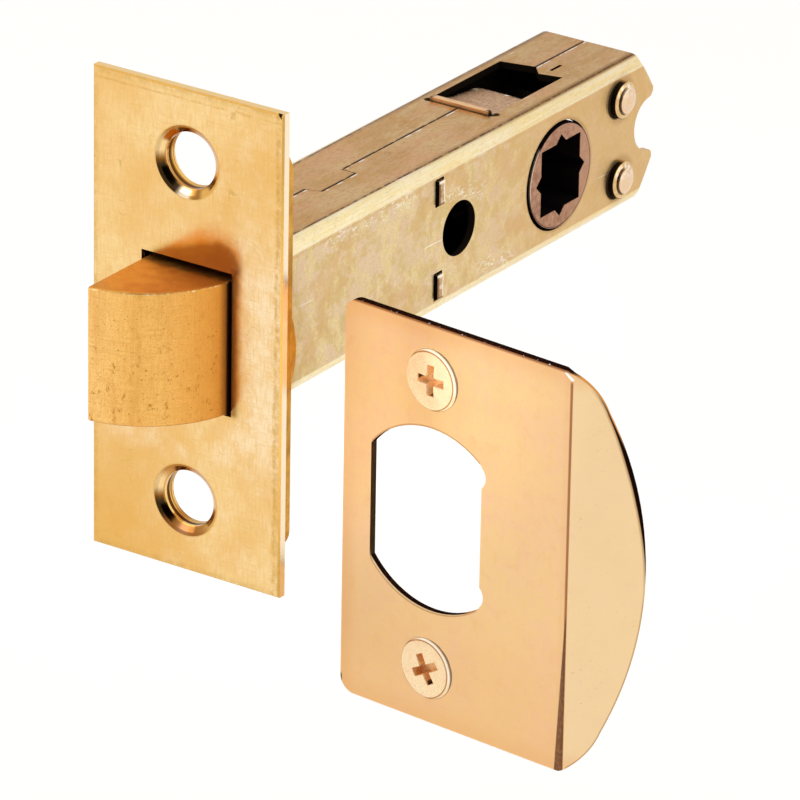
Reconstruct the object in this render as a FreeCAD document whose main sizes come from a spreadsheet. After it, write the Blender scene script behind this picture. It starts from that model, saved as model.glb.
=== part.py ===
import FreeCAD, Part
import math
import os
import Sketcher
from FreeCAD import Placement, Rotation, Vector

# Passage door latch with its full-lip strike plate, in millimetres.
# +Z is up, the faceplate's front face lies in the XZ plane at Y = 0 and faces -Y, and the case runs
# along +Y into the door. The origin is the middle of the two faceplate screw holes.

os.makedirs("parts", exist_ok=True)
doc = FreeCAD.newDocument("passage_latch")
sheet = doc.addObject("Spreadsheet::Sheet", "sizes")

driving_sizes = [
    ("plate_width", 25.4, "faceplate width, 1 in"),
    ("plate_height", 57.15, "faceplate height, 2 1/4 in"),
    ("plate_thick", 1.1, "faceplate sheet"),
    ("plate_edge", 0.2, "broken front edge of the faceplate"),
    ("screw_spacing", 40.2, "between the faceplate screw holes"),
    ("screw_hole_radius", 3.3, "faceplate screw hole"),
    ("sink_radius", 4.25, "countersink at the front face"),
    ("sink_depth", 0.75, "countersink depth"),
    ("hole_side_gap", 0.375, "bolt hole wider than the bolt, on each side"),
    ("hole_end_gap", 0.55, "bolt hole higher than the bolt, at each end"),
    ("back_inset", 0.25, "backing plate inside the faceplate's sides"),
    ("back_margin", 0.7, "backing plate beyond its screw holes"),
    ("back_thick", 1.2, "backing plate sheet"),
    ("back_corner", 3.0, "backing plate corner radius"),
    ("collar_margin", 0.1, "from the backing plate's sides to its round pressed collar"),
    ("collar_height", 1.0, "collar above the backing plate"),
    ("case_width", 14.5, "case outside width"),
    ("case_height", 18.26, "case outside height"),
    ("case_wall", 0.85, "case sheet"),
    ("case_bend", 1.44, "outside radius of the case's folds"),
    ("tail_length", 20.0, "hub centre to the tips of the case's ears"),
    ("case_gap", 0.05, "clearance of a flat piece in or around the case"),
    ("tail_flat", 2.8, "from the tail edge of the case's top to the tips of its ears"),
    ("tail_slope", 1.3, "from the flat of an ear to the start of its slope"),
    ("ear_tip", 4.4, "height of the ear's tip above the case's middle"),
    ("ear_knee", 6.3, "height where the ear's slope changes"),
    ("ear_round", 0.9, "rounding of the ears at the notch"),
    ("seam_x", -0.65, "seam on the case's top"),
    ("seam_gap", 0.14, "gap of the seam"),
    ("seam_step", 1.85, "side step of the locking joint in the seam"),
    ("seam_wave", 23.4, "start of the locking joint"),
    ("seam_run", 7.35, "length of the locking joint"),
    ("seam_ramp", 0.7, "sloping start of the locking joint"),
    ("backset", 63.5, "faceplate front to hub centre, 2 1/2 in"),
    ("hub_radius", 6.36, "hub journal"),
    ("hub_play", 0.27, "radial play of the hub in the case"),
    ("hub_sag", 0.2, "how far the loose hub sits back in its holes"),
    ("hub_drop", 0.25, "hub centre below the case's middle"),
    ("hub_proud", 0.2, "hub face beyond the case side"),
    ("hub_neck", 6.0, "hub barrel between its journals"),
    ("hub_flange", 7.3, "flange that keeps the hub in the case"),
    ("flange_thick", 1.1, "hub flange"),
    ("socket_large", 8.15, "large square of the spindle socket, for 5/16 in"),
    ("socket_small", 7.2, "small square of the spindle socket, for 9/32 in"),
    ("horn_radius", 7.95, "reach of the hub's horns"),
    ("horn_thick", 1.4, "horn along the hub's axis"),
    ("horn_width", 1.28, "horn along the case at its tip"),
    ("horn_lean", 1.45, "fall of a horn's tip from its front corner"),
    ("horn_foot", 0.6, "foot of a horn above the hub's middle"),
    ("horn_root", 0.12, "foot of a horn inside the barrel's surface"),
    ("journal_inside", 0.5, "hub journals inside the case's walls"),
    ("horn_gap", 0.3, "from a horn to the lug it pushes, at rest"),
    ("retract_travel", 10.4, "travel of the retractor"),
    ("through_radius", 3.3, "case hole and tail notch for the knobs' through screws"),
    ("through_front", 20.75, "from the hub to the front through screw"),
    ("through_back", 19.4, "from the hub to the tail notch"),
    ("window_play", 0.35, "window in the case's top wider than the retractor, on each side"),
    ("window_ahead", 9.6, "window from the hub towards the faceplate"),
    ("window_behind", 5.8, "window from the hub towards the tail"),
    ("window_rise", 1.0, "how far the window's rear edge slants back up to the seam"),
    ("window_dip", 0.65, "how far the cut corner beyond the seam stands forward"),
    ("dip_place", 1.45, "from the seam to that corner"),
    ("slit_place", 2.05, "from the seam to the short slit behind the window"),
    ("slit_start", 1.0, "from the window to the short slit behind it"),
    ("slit_width", 0.4, "short slit behind the window"),
    ("slit_length", 2.2, "short slit behind the window"),
    ("tab_height", 2.9, "spring stop tab"),
    ("tab_level", 5.72, "height of a tab's middle from the case's middle"),
    ("tab_proud", 0.35, "tab beyond the case side"),
    ("tab_gap", 0.25, "clearance of a tab in its slot"),
    ("stop_ahead", 25.4, "spring stop from the hub towards the faceplate"),
    ("stop_thick", 1.15, "spring stop sheet"),
    ("bolt_throw", 10.7, "bolt beyond the faceplate"),
    ("bolt_side_play", 0.7, "bolt narrower than the case's inside, on each side"),
    ("bolt_end_play", 0.33, "bolt lower than the case's inside, at each end"),
    ("bolt_side", 0.1, "sideways place of the bolt in its hole"),
    ("bolt_drop", 0.2, "how far the bolt sits low in its hole"),
    ("bolt_nose", 1.0, "width of the bolt's blunt nose"),
    ("nose_fall", 0.1, "how far the blunt nose falls back across its width"),
    ("cam_end", 0.4, "where the cam face ends, in front of the faceplate"),
    ("bolt_cam", 13.2, "radius of the bolt's curved cam face, which bulges outwards"),
    ("bolt_edge", 0.3, "broken edges of the bolt"),
    ("bolt_tail", 6.5, "back of the bolt behind the faceplate's front"),
    ("shank_radius", 2.0, "shank"),
    ("shank_seat", 8.5, "depth of the shank in the bolt"),
    ("shank_play", 0.15, "clearance of the shank in the retractor's web"),
    ("pin_radius", 0.75, "cross pin of the bolt"),
    ("pin_inset", 3.0, "from the bolt's back to the cross pin"),
    ("washer_radius", 2.95, "shank washer"),
    ("washer_thick", 0.8, "shank washer"),
    ("washer_gap", 0.1, "from the web to the washer at rest"),
    ("rivet_end", 0.9, "upset end of the shank behind the washer"),
    ("sheet_thick", 0.8, "retractor sheet"),
    ("spring_room", 15.3, "from the retractor's web to the spring stop"),
    ("leg_width", 5.2, "retractor leg where it passes the spring stop"),
    ("leg_play", 0.13, "clearance of a leg under the case's wall"),
    ("leg_gap", 0.25, "clearance of a leg in the spring stop"),
    ("slide_width", 8.0, "wide end of the retractor"),
    ("shoulder_gap", 0.3, "from the spring stop to the retractor's shoulder"),
    ("bar_gap", 0.25, "from the window's near end to the standing bar"),
    ("bar_thick", 0.85, "standing bar"),
    ("bar_proud", 0.45, "standing bar above the case"),
    ("ramp_top", 0.2, "sloping end of the retractor below the case's top, beside the bar"),
    ("ramp_length", 3.8, "steep part of the sloping end"),
    ("slide_behind", 0.5, "retractor's top leg beyond the hub's centre"),
    ("low_leg_short", 2.0, "retractor's lower leg shorter than the top one"),
    ("slide_sink", 0.5, "fall of the gentle part of the sloping end"),
    ("lug_inset", 0.8, "from the retractor's lugs to the case's wall"),
    ("bolt_coil", 2.9, "mean coil radius of the bolt spring"),
    ("bolt_wire", 0.55, "wire of the bolt spring"),
    ("bolt_turns", 7.0, "turns of the bolt spring"),
    ("main_coil", 4.3, "mean coil radius of the retractor spring"),
    ("main_wire", 0.85, "wire of the retractor spring"),
    ("main_turns", 4.5, "turns of the retractor spring"),
    ("spring_gap", 0.1, "from a spring's end to its seat"),
    ("rivet_inset", 7.05, "from the ears' tips to the tail rivets"),
    ("rivet_level", 5.0, "height of a rivet from the case's middle"),
    ("rivet_shank", 1.5, "rivet in the case wall"),
    ("rivet_body", 1.9, "rivet between the case walls"),
    ("rivet_head", 2.25, "rivet head radius"),
    ("rivet_side", 0.6, "straight side of a rivet head"),
    ("rivet_step", 0.85, "height of a rivet head's step"),
    ("rivet_round", 0.9, "radius of the rounded edge between side and step"),
    ("button_radius", 1.55, "radius of the button on a rivet head"),
    ("button_side", 1.1, "height where a button's crown starts"),
    ("button_crown", 1.4, "whole height of a rivet head"),
    ("strike_x", 11.53, "left edge of the strike"),
    ("strike_y", 14.0, "front face of the strike at its left edge"),
    ("strike_z", -21.43, "middle of the strike"),
    ("strike_turn", 5.3, "turn of the strike towards the viewer, in degrees"),
    ("strike_height", 48.0, "strike height"),
    ("strike_flat", 31.7, "strike, left edge to crease"),
    ("strike_thick", 0.94, "strike sheet"),
    ("strike_corner", 1.9, "left corners of the strike"),
    ("lip_reach", 8.6, "lip from the crease to its edge"),
    ("lip_angle", 39.0, "bend of the lip, in degrees"),
    ("lip_bend", 1.15, "outside radius of the bend"),
    ("lip_curve", 43.2, "radius of the lip's edge"),
    ("lip_corner", 19.0, "height where the lip's corner starts"),
    ("corner_share", 1.8, "corner arc's radius as a share of the corner's height"),
    ("corner_start", 0.4, "how far before the crease the lip's corners start"),
    ("mouth_radius", 11.05, "round opening of the strike, 7/8 in"),
    ("mouth_x", 12.6, "middle of the opening from the left edge"),
    ("mouth_rise", 0.65, "middle of the opening above the strike's middle"),
    ("mouth_left", 3.95, "left flat of the opening"),
    ("mouth_right", 19.6, "right flat of the opening"),
    ("relief_radius", 1.6, "small relief rounds of the opening"),
    ("relief_inset", 1.05, "middle of a relief round from the right flat"),
    ("relief_level", 7.2, "relief rounds from the opening's middle"),
    ("strike_spacing", 34.95, "between the strike screws, 1 3/8 in"),
    ("strike_screw_x", 12.4, "strike screws from the left edge"),
    ("head_radius", 3.6, "strike screw head, number 6"),
    ("head_cone", 2.0, "cone height of the screw head"),
    ("head_dome", 0.45, "crown of the screw head"),
    ("head_play", 0.05, "clearance of the head in its countersink"),
    ("thread_radius", 1.7, "screw body"),
    ("screw_length", 9.5, "screw length under the strike's face, 3/8 in"),
    ("screw_point", 3.2, "pointed end of the screw"),
    ("recess_span", 1.85, "half span of the cross recess"),
    ("recess_width", 0.5, "half width of an arm of the cross recess"),
    ("recess_depth", 1.5, "depth of the cross recess"),
    ("screw_clock", 28.0, "turn of the lower screw's recess, in degrees"),
]

for row, (alias, amount, note) in enumerate(driving_sizes, start=1):
    sheet.set(f"A{row}", note)
    sheet.set(f"B{row}", str(amount))
    sheet.setAlias(f"B{row}", alias)
doc.recompute()


class Size:
    # A length or angle together with the sheet formula that gives it.

    def __init__(self, value, formula):
        self.value = value
        self.formula = formula

    def __add__(self, other):
        return Size(self.value + value_of(other), f"({self.formula} + {formula_of(other)})")

    def __radd__(self, other):
        return self + other

    def __sub__(self, other):
        return Size(self.value - value_of(other), f"({self.formula} - {formula_of(other)})")

    def __rsub__(self, other):
        return Size(value_of(other) - self.value, f"({formula_of(other)} - {self.formula})")

    def __mul__(self, other):
        return Size(self.value * value_of(other), f"({self.formula} * {formula_of(other)})")

    def __rmul__(self, other):
        return self * other

    def __truediv__(self, other):
        return Size(self.value / value_of(other), f"({self.formula} / {formula_of(other)})")

    def __neg__(self):
        return Size(-self.value, f"(0 - {self.formula})")


def value_of(amount):
    return amount.value if isinstance(amount, Size) else float(amount)


def formula_of(amount):
    return amount.formula if isinstance(amount, Size) else f"{float(amount):.6f}"


def size(alias):
    return Size(float(sheet.get(alias)), f"sizes.{alias}")


def root(amount):
    return Size(math.sqrt(amount.value), f"sqrt({amount.formula})")


def cosine(angle):
    return Size(math.cos(math.radians(angle.value)), f"cos({angle.formula})")


def sine(angle):
    return Size(math.sin(math.radians(angle.value)), f"sin({angle.formula})")


def new_body(name):
    body = doc.addObject("PartDesign::Body", name)
    body.Label = name
    return body


def origin_feature(body, role):
    return [item for item in body.Origin.OriginFeatures if item.Role == role][0]


# The local Z of a sketch on each origin plane, as a direction along the model's axes.
plane_sense = {"XY_Plane": 1, "XZ_Plane": -1, "YZ_Plane": 1}


def new_sketch(body, name, plane, level=0):
    sketch = body.newObject("Sketcher::SketchObject", name)
    sketch.AttachmentSupport = [(origin_feature(body, plane), "")]
    sketch.MapMode = "FlatFace"
    offset = plane_sense[plane] * level
    if isinstance(offset, Size):
        sketch.setExpression("AttachmentOffset.Base.z", offset.formula)
    sketch.AttachmentOffset = Placement(Vector(0, 0, value_of(offset)), Rotation())
    return sketch


def bind(sketch, kind, *arguments):
    # Adds a constraint whose last argument is its size, and binds that size to the sheet.
    amount = arguments[-1]
    number = sketch.addConstraint(Sketcher.Constraint(kind, *arguments[:-1], value_of(amount)))
    if isinstance(amount, Size):
        sketch.setExpression(f"Constraints[{number}]", amount.formula)


def place_point(sketch, item, spot, point):
    bind(sketch, "DistanceX", -1, 1, item, spot, point[0])
    bind(sketch, "DistanceY", -1, 1, item, spot, point[1])


def arc_middle(start, end, radius, side):
    # The middle of the shorter arc from start to end; side 1 bulges to the left of the way there.
    chord = end - start
    across = Vector(-chord.y, chord.x, 0) / chord.Length
    rise = radius - math.sqrt(radius ** 2 - (chord.Length / 2) ** 2)
    return (start + end) / 2 + across * (side * rise)


def trace(sketch, corners):
    # A closed outline. A corner is (a, b), or (a, b, radius, side) where an arc leaves it.
    points = [Vector(value_of(corner[0]), value_of(corner[1]), 0) for corner in corners]
    first = len(sketch.Geometry)
    starts = []
    for index, corner in enumerate(corners):
        begin = points[index]
        finish = points[(index + 1) % len(points)]
        if len(corner) == 4:
            middle = arc_middle(begin, finish, value_of(corner[2]), corner[3])
            item = sketch.addGeometry(Part.Arc(begin, middle, finish), False)
        else:
            item = sketch.addGeometry(Part.LineSegment(begin, finish), False)
        starts.append(1 if (sketch.getPoint(item, 1) - begin).Length < 1e-6 else 2)
    for index, corner in enumerate(corners):
        following = (index + 1) % len(corners)
        sketch.addConstraint(Sketcher.Constraint(
            "Coincident", first + index, 3 - starts[index], first + following, starts[following]))
        place_point(sketch, first + index, starts[index], corner)
        if len(corner) == 4:
            bind(sketch, "Radius", first + index, corner[2])


def trace_box(sketch, left, low, right, high):
    trace(sketch, [(left, low), (right, low), (right, high), (left, high)])


def trace_rounded(sketch, half_wide, half_high, radius):
    wide = half_wide - radius
    high = half_high - radius
    trace(sketch, [
        (-half_wide, high, radius, 1), (-wide, half_high),
        (wide, half_high, radius, 1), (half_wide, high),
        (half_wide, -high, radius, 1), (wide, -half_high),
        (-wide, -half_high, radius, 1), (-half_wide, -high)])


def trace_circle(sketch, across, up, radius):
    centre = Vector(value_of(across), value_of(up), 0)
    item = sketch.addGeometry(Part.Circle(centre, Vector(0, 0, 1), value_of(radius)), False)
    place_point(sketch, item, 3, (across, up))
    bind(sketch, "Radius", item, radius)


def trace_axis(sketch, begin, finish):
    # A construction line that a revolution or groove turns about.
    points = [Vector(value_of(point[0]), value_of(point[1]), 0) for point in (begin, finish)]
    item = sketch.addGeometry(Part.LineSegment(*points), True)
    place_point(sketch, item, 1, begin)
    place_point(sketch, item, 2, finish)


def plane_of(sketch):
    return sketch.AttachmentSupport[0][0].Role


def set_side(feature, sketch, length, towards, natural):
    # towards is 1 or -1 along the model's axis, or 0 for both ways from the sketch.
    feature.Profile = sketch
    feature.Length = value_of(length)
    if isinstance(length, Size):
        feature.setExpression("Length", length.formula)
    if towards == 0:
        feature.SideType = "Symmetric"
    else:
        feature.Reversed = towards != natural * plane_sense[plane_of(sketch)]


def pad(body, name, sketch, length, towards):
    feature = body.newObject("PartDesign::Pad", name)
    set_side(feature, sketch, length, towards, 1)
    doc.recompute()
    return feature


def checked_cut(body, feature, before):
    doc.recompute()
    if not feature.Shape.Volume < before - 1e-4:
        raise RuntimeError(f"{body.Label}: {feature.Name} cuts nothing")
    return feature


def pocket(body, name, sketch, length, towards):
    before = body.Tip.Shape.Volume
    feature = body.newObject("PartDesign::Pocket", name)
    set_side(feature, sketch, length, towards, -1)
    return checked_cut(body, feature, before)


def groove(body, name, sketch):
    before = body.Tip.Shape.Volume
    feature = body.newObject("PartDesign::Groove", name)
    feature.Profile = sketch
    feature.ReferenceAxis = (sketch, ["Axis0"])
    feature.Angle = 360
    return checked_cut(body, feature, before)


def revolve(body, name, sketch):
    feature = body.newObject("PartDesign::Revolution", name)
    feature.Profile = sketch
    feature.ReferenceAxis = (sketch, ["Axis0"])
    feature.Angle = 360
    doc.recompute()
    return feature


def mirror(body, name, features, plane):
    feature = body.newObject("PartDesign::Mirrored", name)
    feature.Originals = features
    feature.MirrorPlane = (origin_feature(body, plane), [""])
    body.Tip = feature
    doc.recompute()
    return feature


def soften(body, name, kind, amount, chosen):
    # A fillet or chamfer on the edges that chosen(edge) picks.
    base = body.Tip
    names = [f"Edge{number}" for number, edge in enumerate(base.Shape.Edges, start=1) if chosen(edge)]
    feature = body.newObject(f"PartDesign::{kind}", name)
    feature.Base = (base, names)
    prop = "Radius" if kind == "Fillet" else "Size"
    setattr(feature, prop, value_of(amount))
    feature.setExpression(prop, amount.formula)
    doc.recompute()
    return feature


def near(first, second):
    return abs(first - second) < 1e-3


# Shared places along and across the latch
half_case_width = size("case_width") / 2
half_case_height = size("case_height") / 2
inner_width = half_case_width - size("case_wall")
inner_height = half_case_height - size("case_wall")
back_face = size("plate_thick") + size("back_thick")
hub_centre = size("backset")
hub_level = -size("hub_drop")
case_end = hub_centre + size("tail_length")
window_front = hub_centre - size("window_ahead")
window_back = hub_centre + size("window_behind")
through_centre = hub_centre - size("through_front")
half_throw = size("retract_travel") / 2
lug_level = root(size("horn_radius") * size("horn_radius") - half_throw * half_throw)
lug_front = hub_centre - half_throw + size("horn_gap")
leg_top = inner_height - size("leg_play")
leg_under = leg_top - size("sheet_thick")
bolt_middle = -size("bolt_drop")
half_bolt_width = inner_width - size("bolt_side_play")
half_bolt_height = inner_height - size("bolt_end_play")
stop_front = hub_centre - size("stop_ahead")
stop_back = stop_front + size("stop_thick")
web_back = stop_front - size("spring_room")
web_front = web_back - size("sheet_thick")
slide_left = size("seam_x") - size("slide_width") / 2
slide_right = size("seam_x") + size("slide_width") / 2
lug_end = inner_width - size("lug_inset")
rivet_y = case_end - size("rivet_inset")


def make_faceplate():
    body = new_body("faceplate")
    sketch = new_sketch(body, "faceplate_outline", "XZ_Plane")
    half_wide = size("plate_width") / 2
    half_high = size("plate_height") / 2
    trace_box(sketch, -half_wide, -half_high, half_wide, half_high)
    pad(body, "faceplate_sheet", sketch, size("plate_thick"), 1)
    soften(body, "faceplate_edge", "Chamfer", size("plate_edge"),
           lambda edge: near(edge.BoundBox.YMax, 0))
    sketch = new_sketch(body, "bolt_hole_outline", "XZ_Plane")
    half_wide = half_bolt_width + size("hole_side_gap")
    half_high = half_bolt_height + size("hole_end_gap")
    trace_box(sketch, -half_wide, -half_high, half_wide, half_high)
    pocket(body, "bolt_hole", sketch, size("plate_thick"), 1)
    cut_countersink(body, size("screw_spacing") / 2)
    return body


def cut_countersink(body, level):
    sketch = new_sketch(body, "countersink_profile", "YZ_Plane")
    trace_axis(sketch, (0, level), (size("plate_thick"), level))
    trace(sketch, [
        (0, level), (0, level + size("sink_radius")),
        (size("sink_depth"), level + size("screw_hole_radius")),
        (size("plate_thick"), level + size("screw_hole_radius")), (size("plate_thick"), level)])
    upper = groove(body, "countersink", sketch)
    mirror(body, "countersinks", [upper], "XY_Plane")


def make_backing_plate():
    body = new_body("backing_plate")
    sketch = new_sketch(body, "backing_outline", "XZ_Plane", size("plate_thick"))
    half_wide = size("plate_width") / 2 - size("back_inset")
    half_high = size("screw_spacing") / 2 + size("screw_hole_radius") + size("back_margin")
    trace_rounded(sketch, half_wide, half_high, size("back_corner"))
    pad(body, "backing_sheet", sketch, size("back_thick"), 1)
    sketch = new_sketch(body, "collar_outline", "XZ_Plane", back_face)
    trace_circle(sketch, 0, 0, half_wide - size("collar_margin"))
    pad(body, "collar", sketch, size("collar_height"), 1)
    sketch = new_sketch(body, "backing_openings", "XZ_Plane", size("plate_thick"))
    gap = size("case_gap")
    trace_rounded(sketch, half_case_width + gap, half_case_height + gap, size("case_bend") + gap)
    for side in (1, -1):
        trace_circle(sketch, 0, side * size("screw_spacing") / 2, size("screw_hole_radius"))
    pocket(body, "openings", sketch, size("back_thick") + size("collar_height"), 1)
    return body


def make_case():
    body = new_body("latch_case")
    sketch = new_sketch(body, "case_section", "XZ_Plane", size("plate_thick"))
    trace_rounded(sketch, half_case_width, half_case_height, size("case_bend"))
    trace_rounded(sketch, inner_width, inner_height, size("case_bend") - size("case_wall"))
    pad(body, "folded_sheet", sketch, case_end - size("plate_thick"), 1)

    sketch = new_sketch(body, "tail_outline", "YZ_Plane")
    top_end = case_end - size("tail_flat")
    slope_start = case_end - size("tail_slope")
    beyond = case_end + 1
    above = half_case_height + 1
    for side in (1, -1):
        trace(sketch, [
            (top_end, side * above), (top_end, side * inner_height),
            (slope_start, side * size("ear_knee")), (case_end, side * size("ear_tip")),
            (beyond, side * size("ear_tip")), (beyond, side * above)])
    across = size("case_width") + 2
    pocket(body, "tail_shape", sketch, across, 0)

    sketch = new_sketch(body, "tail_notch_outline", "YZ_Plane")
    trace_circle(sketch, hub_centre + size("through_back"), 0, size("through_radius"))
    pocket(body, "tail_notch", sketch, across, 0)
    soften(body, "ear_rounding", "Fillet", size("ear_round"),
           lambda edge: near(edge.BoundBox.YMin, case_end.value)
           and near(edge.BoundBox.ZLength, 0) and abs(edge.BoundBox.ZMax) < size("ear_tip").value - 0.01)

    sketch = new_sketch(body, "side_holes", "YZ_Plane")
    trace_circle(sketch, hub_centre - size("hub_sag"), hub_level,
                 size("hub_radius") + size("hub_play"))
    trace_circle(sketch, through_centre, 0, size("through_radius"))
    for side in (1, -1):
        trace_circle(sketch, rivet_y, side * size("rivet_level"), size("rivet_shank"))
        middle = side * size("tab_level")
        reach = size("tab_height") / 2 + size("tab_gap")
        trace_box(sketch, stop_front - size("tab_gap"), middle - reach,
                  stop_back + size("tab_gap"), middle + reach)
    pocket(body, "side_hole_cut", sketch, across, 0)

    sketch = new_sketch(body, "window_outline", "XY_Plane")
    seam = size("seam_x")
    left = slide_left - size("window_play")
    right = slide_right + size("window_play")
    trace(sketch, [
        (left, window_front), (right, window_front), (right, window_back),
        (seam + size("dip_place"), window_back - size("window_dip")),
        (seam, window_back + size("window_rise")), (left, window_back)])
    pocket(body, "window", sketch, above, 1)

    half_gap = size("seam_gap") / 2
    step = size("seam_step")
    wave_end = size("seam_wave") + size("seam_ramp")
    run_end = size("seam_wave") + size("seam_run")
    sketch = new_sketch(body, "seam_outline", "XY_Plane")
    trace(sketch, [
        (seam - half_gap, size("plate_thick")), (seam - half_gap, size("seam_wave")),
        (seam + step - half_gap, wave_end), (seam + step - half_gap, run_end - half_gap),
        (seam - half_gap, run_end - half_gap), (seam - half_gap, window_front),
        (seam + half_gap, window_front), (seam + half_gap, run_end + half_gap),
        (seam + step + half_gap, run_end + half_gap), (seam + step + half_gap, wave_end),
        (seam + half_gap, size("seam_wave")), (seam + half_gap, size("plate_thick"))])
    trace_box(sketch, seam - half_gap, window_back, seam + half_gap, case_end)
    slit = seam + size("slit_place")
    slit_front = window_back + size("slit_start")
    trace_box(sketch, slit - size("slit_width") / 2, slit_front,
              slit + size("slit_width") / 2, slit_front + size("slit_length"))
    pocket(body, "seam", sketch, above, 1)
    return body


def make_spring_stop():
    body = new_body("spring_stop")
    sketch = new_sketch(body, "stop_outline", "XZ_Plane", stop_front)
    gap = size("case_gap")
    trace_rounded(sketch, inner_width - gap, inner_height - gap, size("case_bend") - size("case_wall"))
    pad(body, "stop_sheet", sketch, size("stop_thick"), 1)
    sketch = new_sketch(body, "tab_outline", "XZ_Plane", stop_front)
    reach = half_case_width + size("tab_proud")
    for side in (1, -1):
        middle = side * size("tab_level")
        trace_box(sketch, -reach, middle - size("tab_height") / 2, reach, middle + size("tab_height") / 2)
    pad(body, "tabs", sketch, size("stop_thick"), 1)
    sketch = new_sketch(body, "stop_openings", "XZ_Plane", stop_front)
    half_notch = size("leg_width") / 2 + size("leg_gap")
    trace_circle(sketch, size("bolt_side"), bolt_middle, size("washer_radius") + size("leg_gap") * 2)
    for side in (1, -1):
        trace_box(sketch, -half_notch, side * (leg_under - size("leg_gap")), half_notch,
                  side * (inner_height + gap))
    pocket(body, "stop_cuts", sketch, size("stop_thick"), 1)
    return body


def make_bolt():
    body = new_body("latch_bolt")
    left = size("bolt_side") - half_bolt_width
    right = size("bolt_side") + half_bolt_width
    low = bolt_middle - half_bolt_height
    nose = -size("bolt_throw")
    sketch = new_sketch(body, "bolt_profile", "XY_Plane", low)
    trace(sketch, [
        (left, size("bolt_tail")), (left, nose),
        (left + size("bolt_nose"), nose + size("nose_fall"), size("bolt_cam"), -1),
        (right, -size("cam_end")), (right, size("bolt_tail"))])
    pad(body, "bolt_block", sketch, half_bolt_height * 2, 1)
    high = low.value + half_bolt_height.value * 2
    tail = size("bolt_tail").value
    soften(body, "bolt_edges", "Fillet", size("bolt_edge"),
           lambda edge: (near(edge.BoundBox.ZMin, high) or near(edge.BoundBox.ZMax, low.value)
                         or near(edge.BoundBox.YMax, nose.value))
           and not near(edge.BoundBox.YMin, tail))
    sketch = new_sketch(body, "shank_bore_outline", "XZ_Plane", size("bolt_tail"))
    trace_circle(sketch, size("bolt_side"), bolt_middle, size("shank_radius"))
    pocket(body, "shank_bore", sketch, size("shank_seat"), -1)
    sketch = new_sketch(body, "pin_hole_outline", "XY_Plane", bolt_middle)
    trace_circle(sketch, size("bolt_side"), size("bolt_tail") - size("pin_inset"), size("pin_radius"))
    pocket(body, "pin_hole", sketch, half_bolt_height * 2 + 1, 0)
    return body


def make_bolt_shank():
    body = new_body("bolt_shank")
    washer_front = web_back + size("washer_gap")
    end = washer_front + size("washer_thick")
    begin = size("bolt_tail") - size("shank_seat")
    sketch = new_sketch(body, "shank_outline", "XZ_Plane", begin)
    trace_circle(sketch, size("bolt_side"), bolt_middle, size("shank_radius"))
    pad(body, "bar", sketch, end - begin, 1)
    sketch = new_sketch(body, "upset_outline", "XZ_Plane", end)
    trace_circle(sketch, size("bolt_side"), bolt_middle, (size("shank_radius") + size("washer_radius")) / 2)
    pad(body, "upset_end", sketch, size("rivet_end"), 1)
    sketch = new_sketch(body, "cross_hole_outline", "XY_Plane", bolt_middle)
    trace_circle(sketch, size("bolt_side"), size("bolt_tail") - size("pin_inset"), size("pin_radius"))
    pocket(body, "cross_hole", sketch, half_bolt_height, 0)
    return body


def make_bolt_pin():
    body = new_body("bolt_pin")
    sketch = new_sketch(body, "pin_outline", "XY_Plane", bolt_middle)
    trace_circle(sketch, size("bolt_side"), size("bolt_tail") - size("pin_inset"), size("pin_radius"))
    pad(body, "pin", sketch, 2 * (half_bolt_height - size("bolt_edge")), 0)
    return body


def make_shank_washer():
    body = new_body("shank_washer")
    sketch = new_sketch(body, "washer_outline", "XZ_Plane", web_back + size("washer_gap"))
    trace_circle(sketch, size("bolt_side"), bolt_middle, size("washer_radius"))
    trace_circle(sketch, size("bolt_side"), bolt_middle, size("shank_radius"))
    pad(body, "washer", sketch, size("washer_thick"), 1)
    return body


def make_retractor():
    body = new_body("retractor")
    shoulder = stop_back + size("shoulder_gap")
    sketch = new_sketch(body, "yoke_profile", "YZ_Plane")
    trace(sketch, [
        (web_front, -leg_top), (web_front, leg_top), (shoulder, leg_top),
        (shoulder, leg_under), (web_back, leg_under), (web_back, -leg_under),
        (shoulder, -leg_under), (shoulder, -leg_top)])
    pad(body, "yoke", sketch, size("leg_width"), 0)
    sketch = new_sketch(body, "shank_hole_outline", "XZ_Plane", web_front)
    trace_circle(sketch, size("bolt_side"), bolt_middle, size("shank_radius") + size("shank_play"))
    pocket(body, "shank_hole", sketch, size("sheet_thick"), 1)

    # The top leg carries the standing bar, then slopes down to where it passes over the hub.
    bar_front = window_front + size("bar_gap")
    bar_back = bar_front + size("bar_thick")
    bar_top = half_case_height + size("bar_proud")
    ramp_foot = bar_back + size("ramp_length")
    slide_end = hub_centre + size("slide_behind")
    sketch = new_sketch(body, "top_slide_profile", "YZ_Plane", slide_left)
    trace(sketch, [
        (shoulder, leg_under), (shoulder, leg_top), (bar_front, leg_top), (bar_front, bar_top),
        (bar_back, bar_top), (bar_back, half_case_height - size("ramp_top")), (ramp_foot, leg_top),
        (slide_end, leg_top - size("slide_sink")), (slide_end, leg_under - size("slide_sink")),
        (ramp_foot, leg_under)])
    pad(body, "top_slide", sketch, size("slide_width"), 1)
    sketch = new_sketch(body, "low_slide_profile", "YZ_Plane", slide_left)
    trace_box(sketch, shoulder, -leg_top, slide_end - size("low_leg_short"), -leg_under)
    pad(body, "low_slide", sketch, size("slide_width"), 1)

    sketch = new_sketch(body, "lug_outline", "XZ_Plane", lug_front)
    for side in (1, -1):
        trace_box(sketch, slide_right - size("sheet_thick"), hub_level + side * lug_level, lug_end,
                  side * (leg_top - size("slide_sink") / 2))
    pad(body, "lugs", sketch, size("sheet_thick"), 1)
    return body


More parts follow.
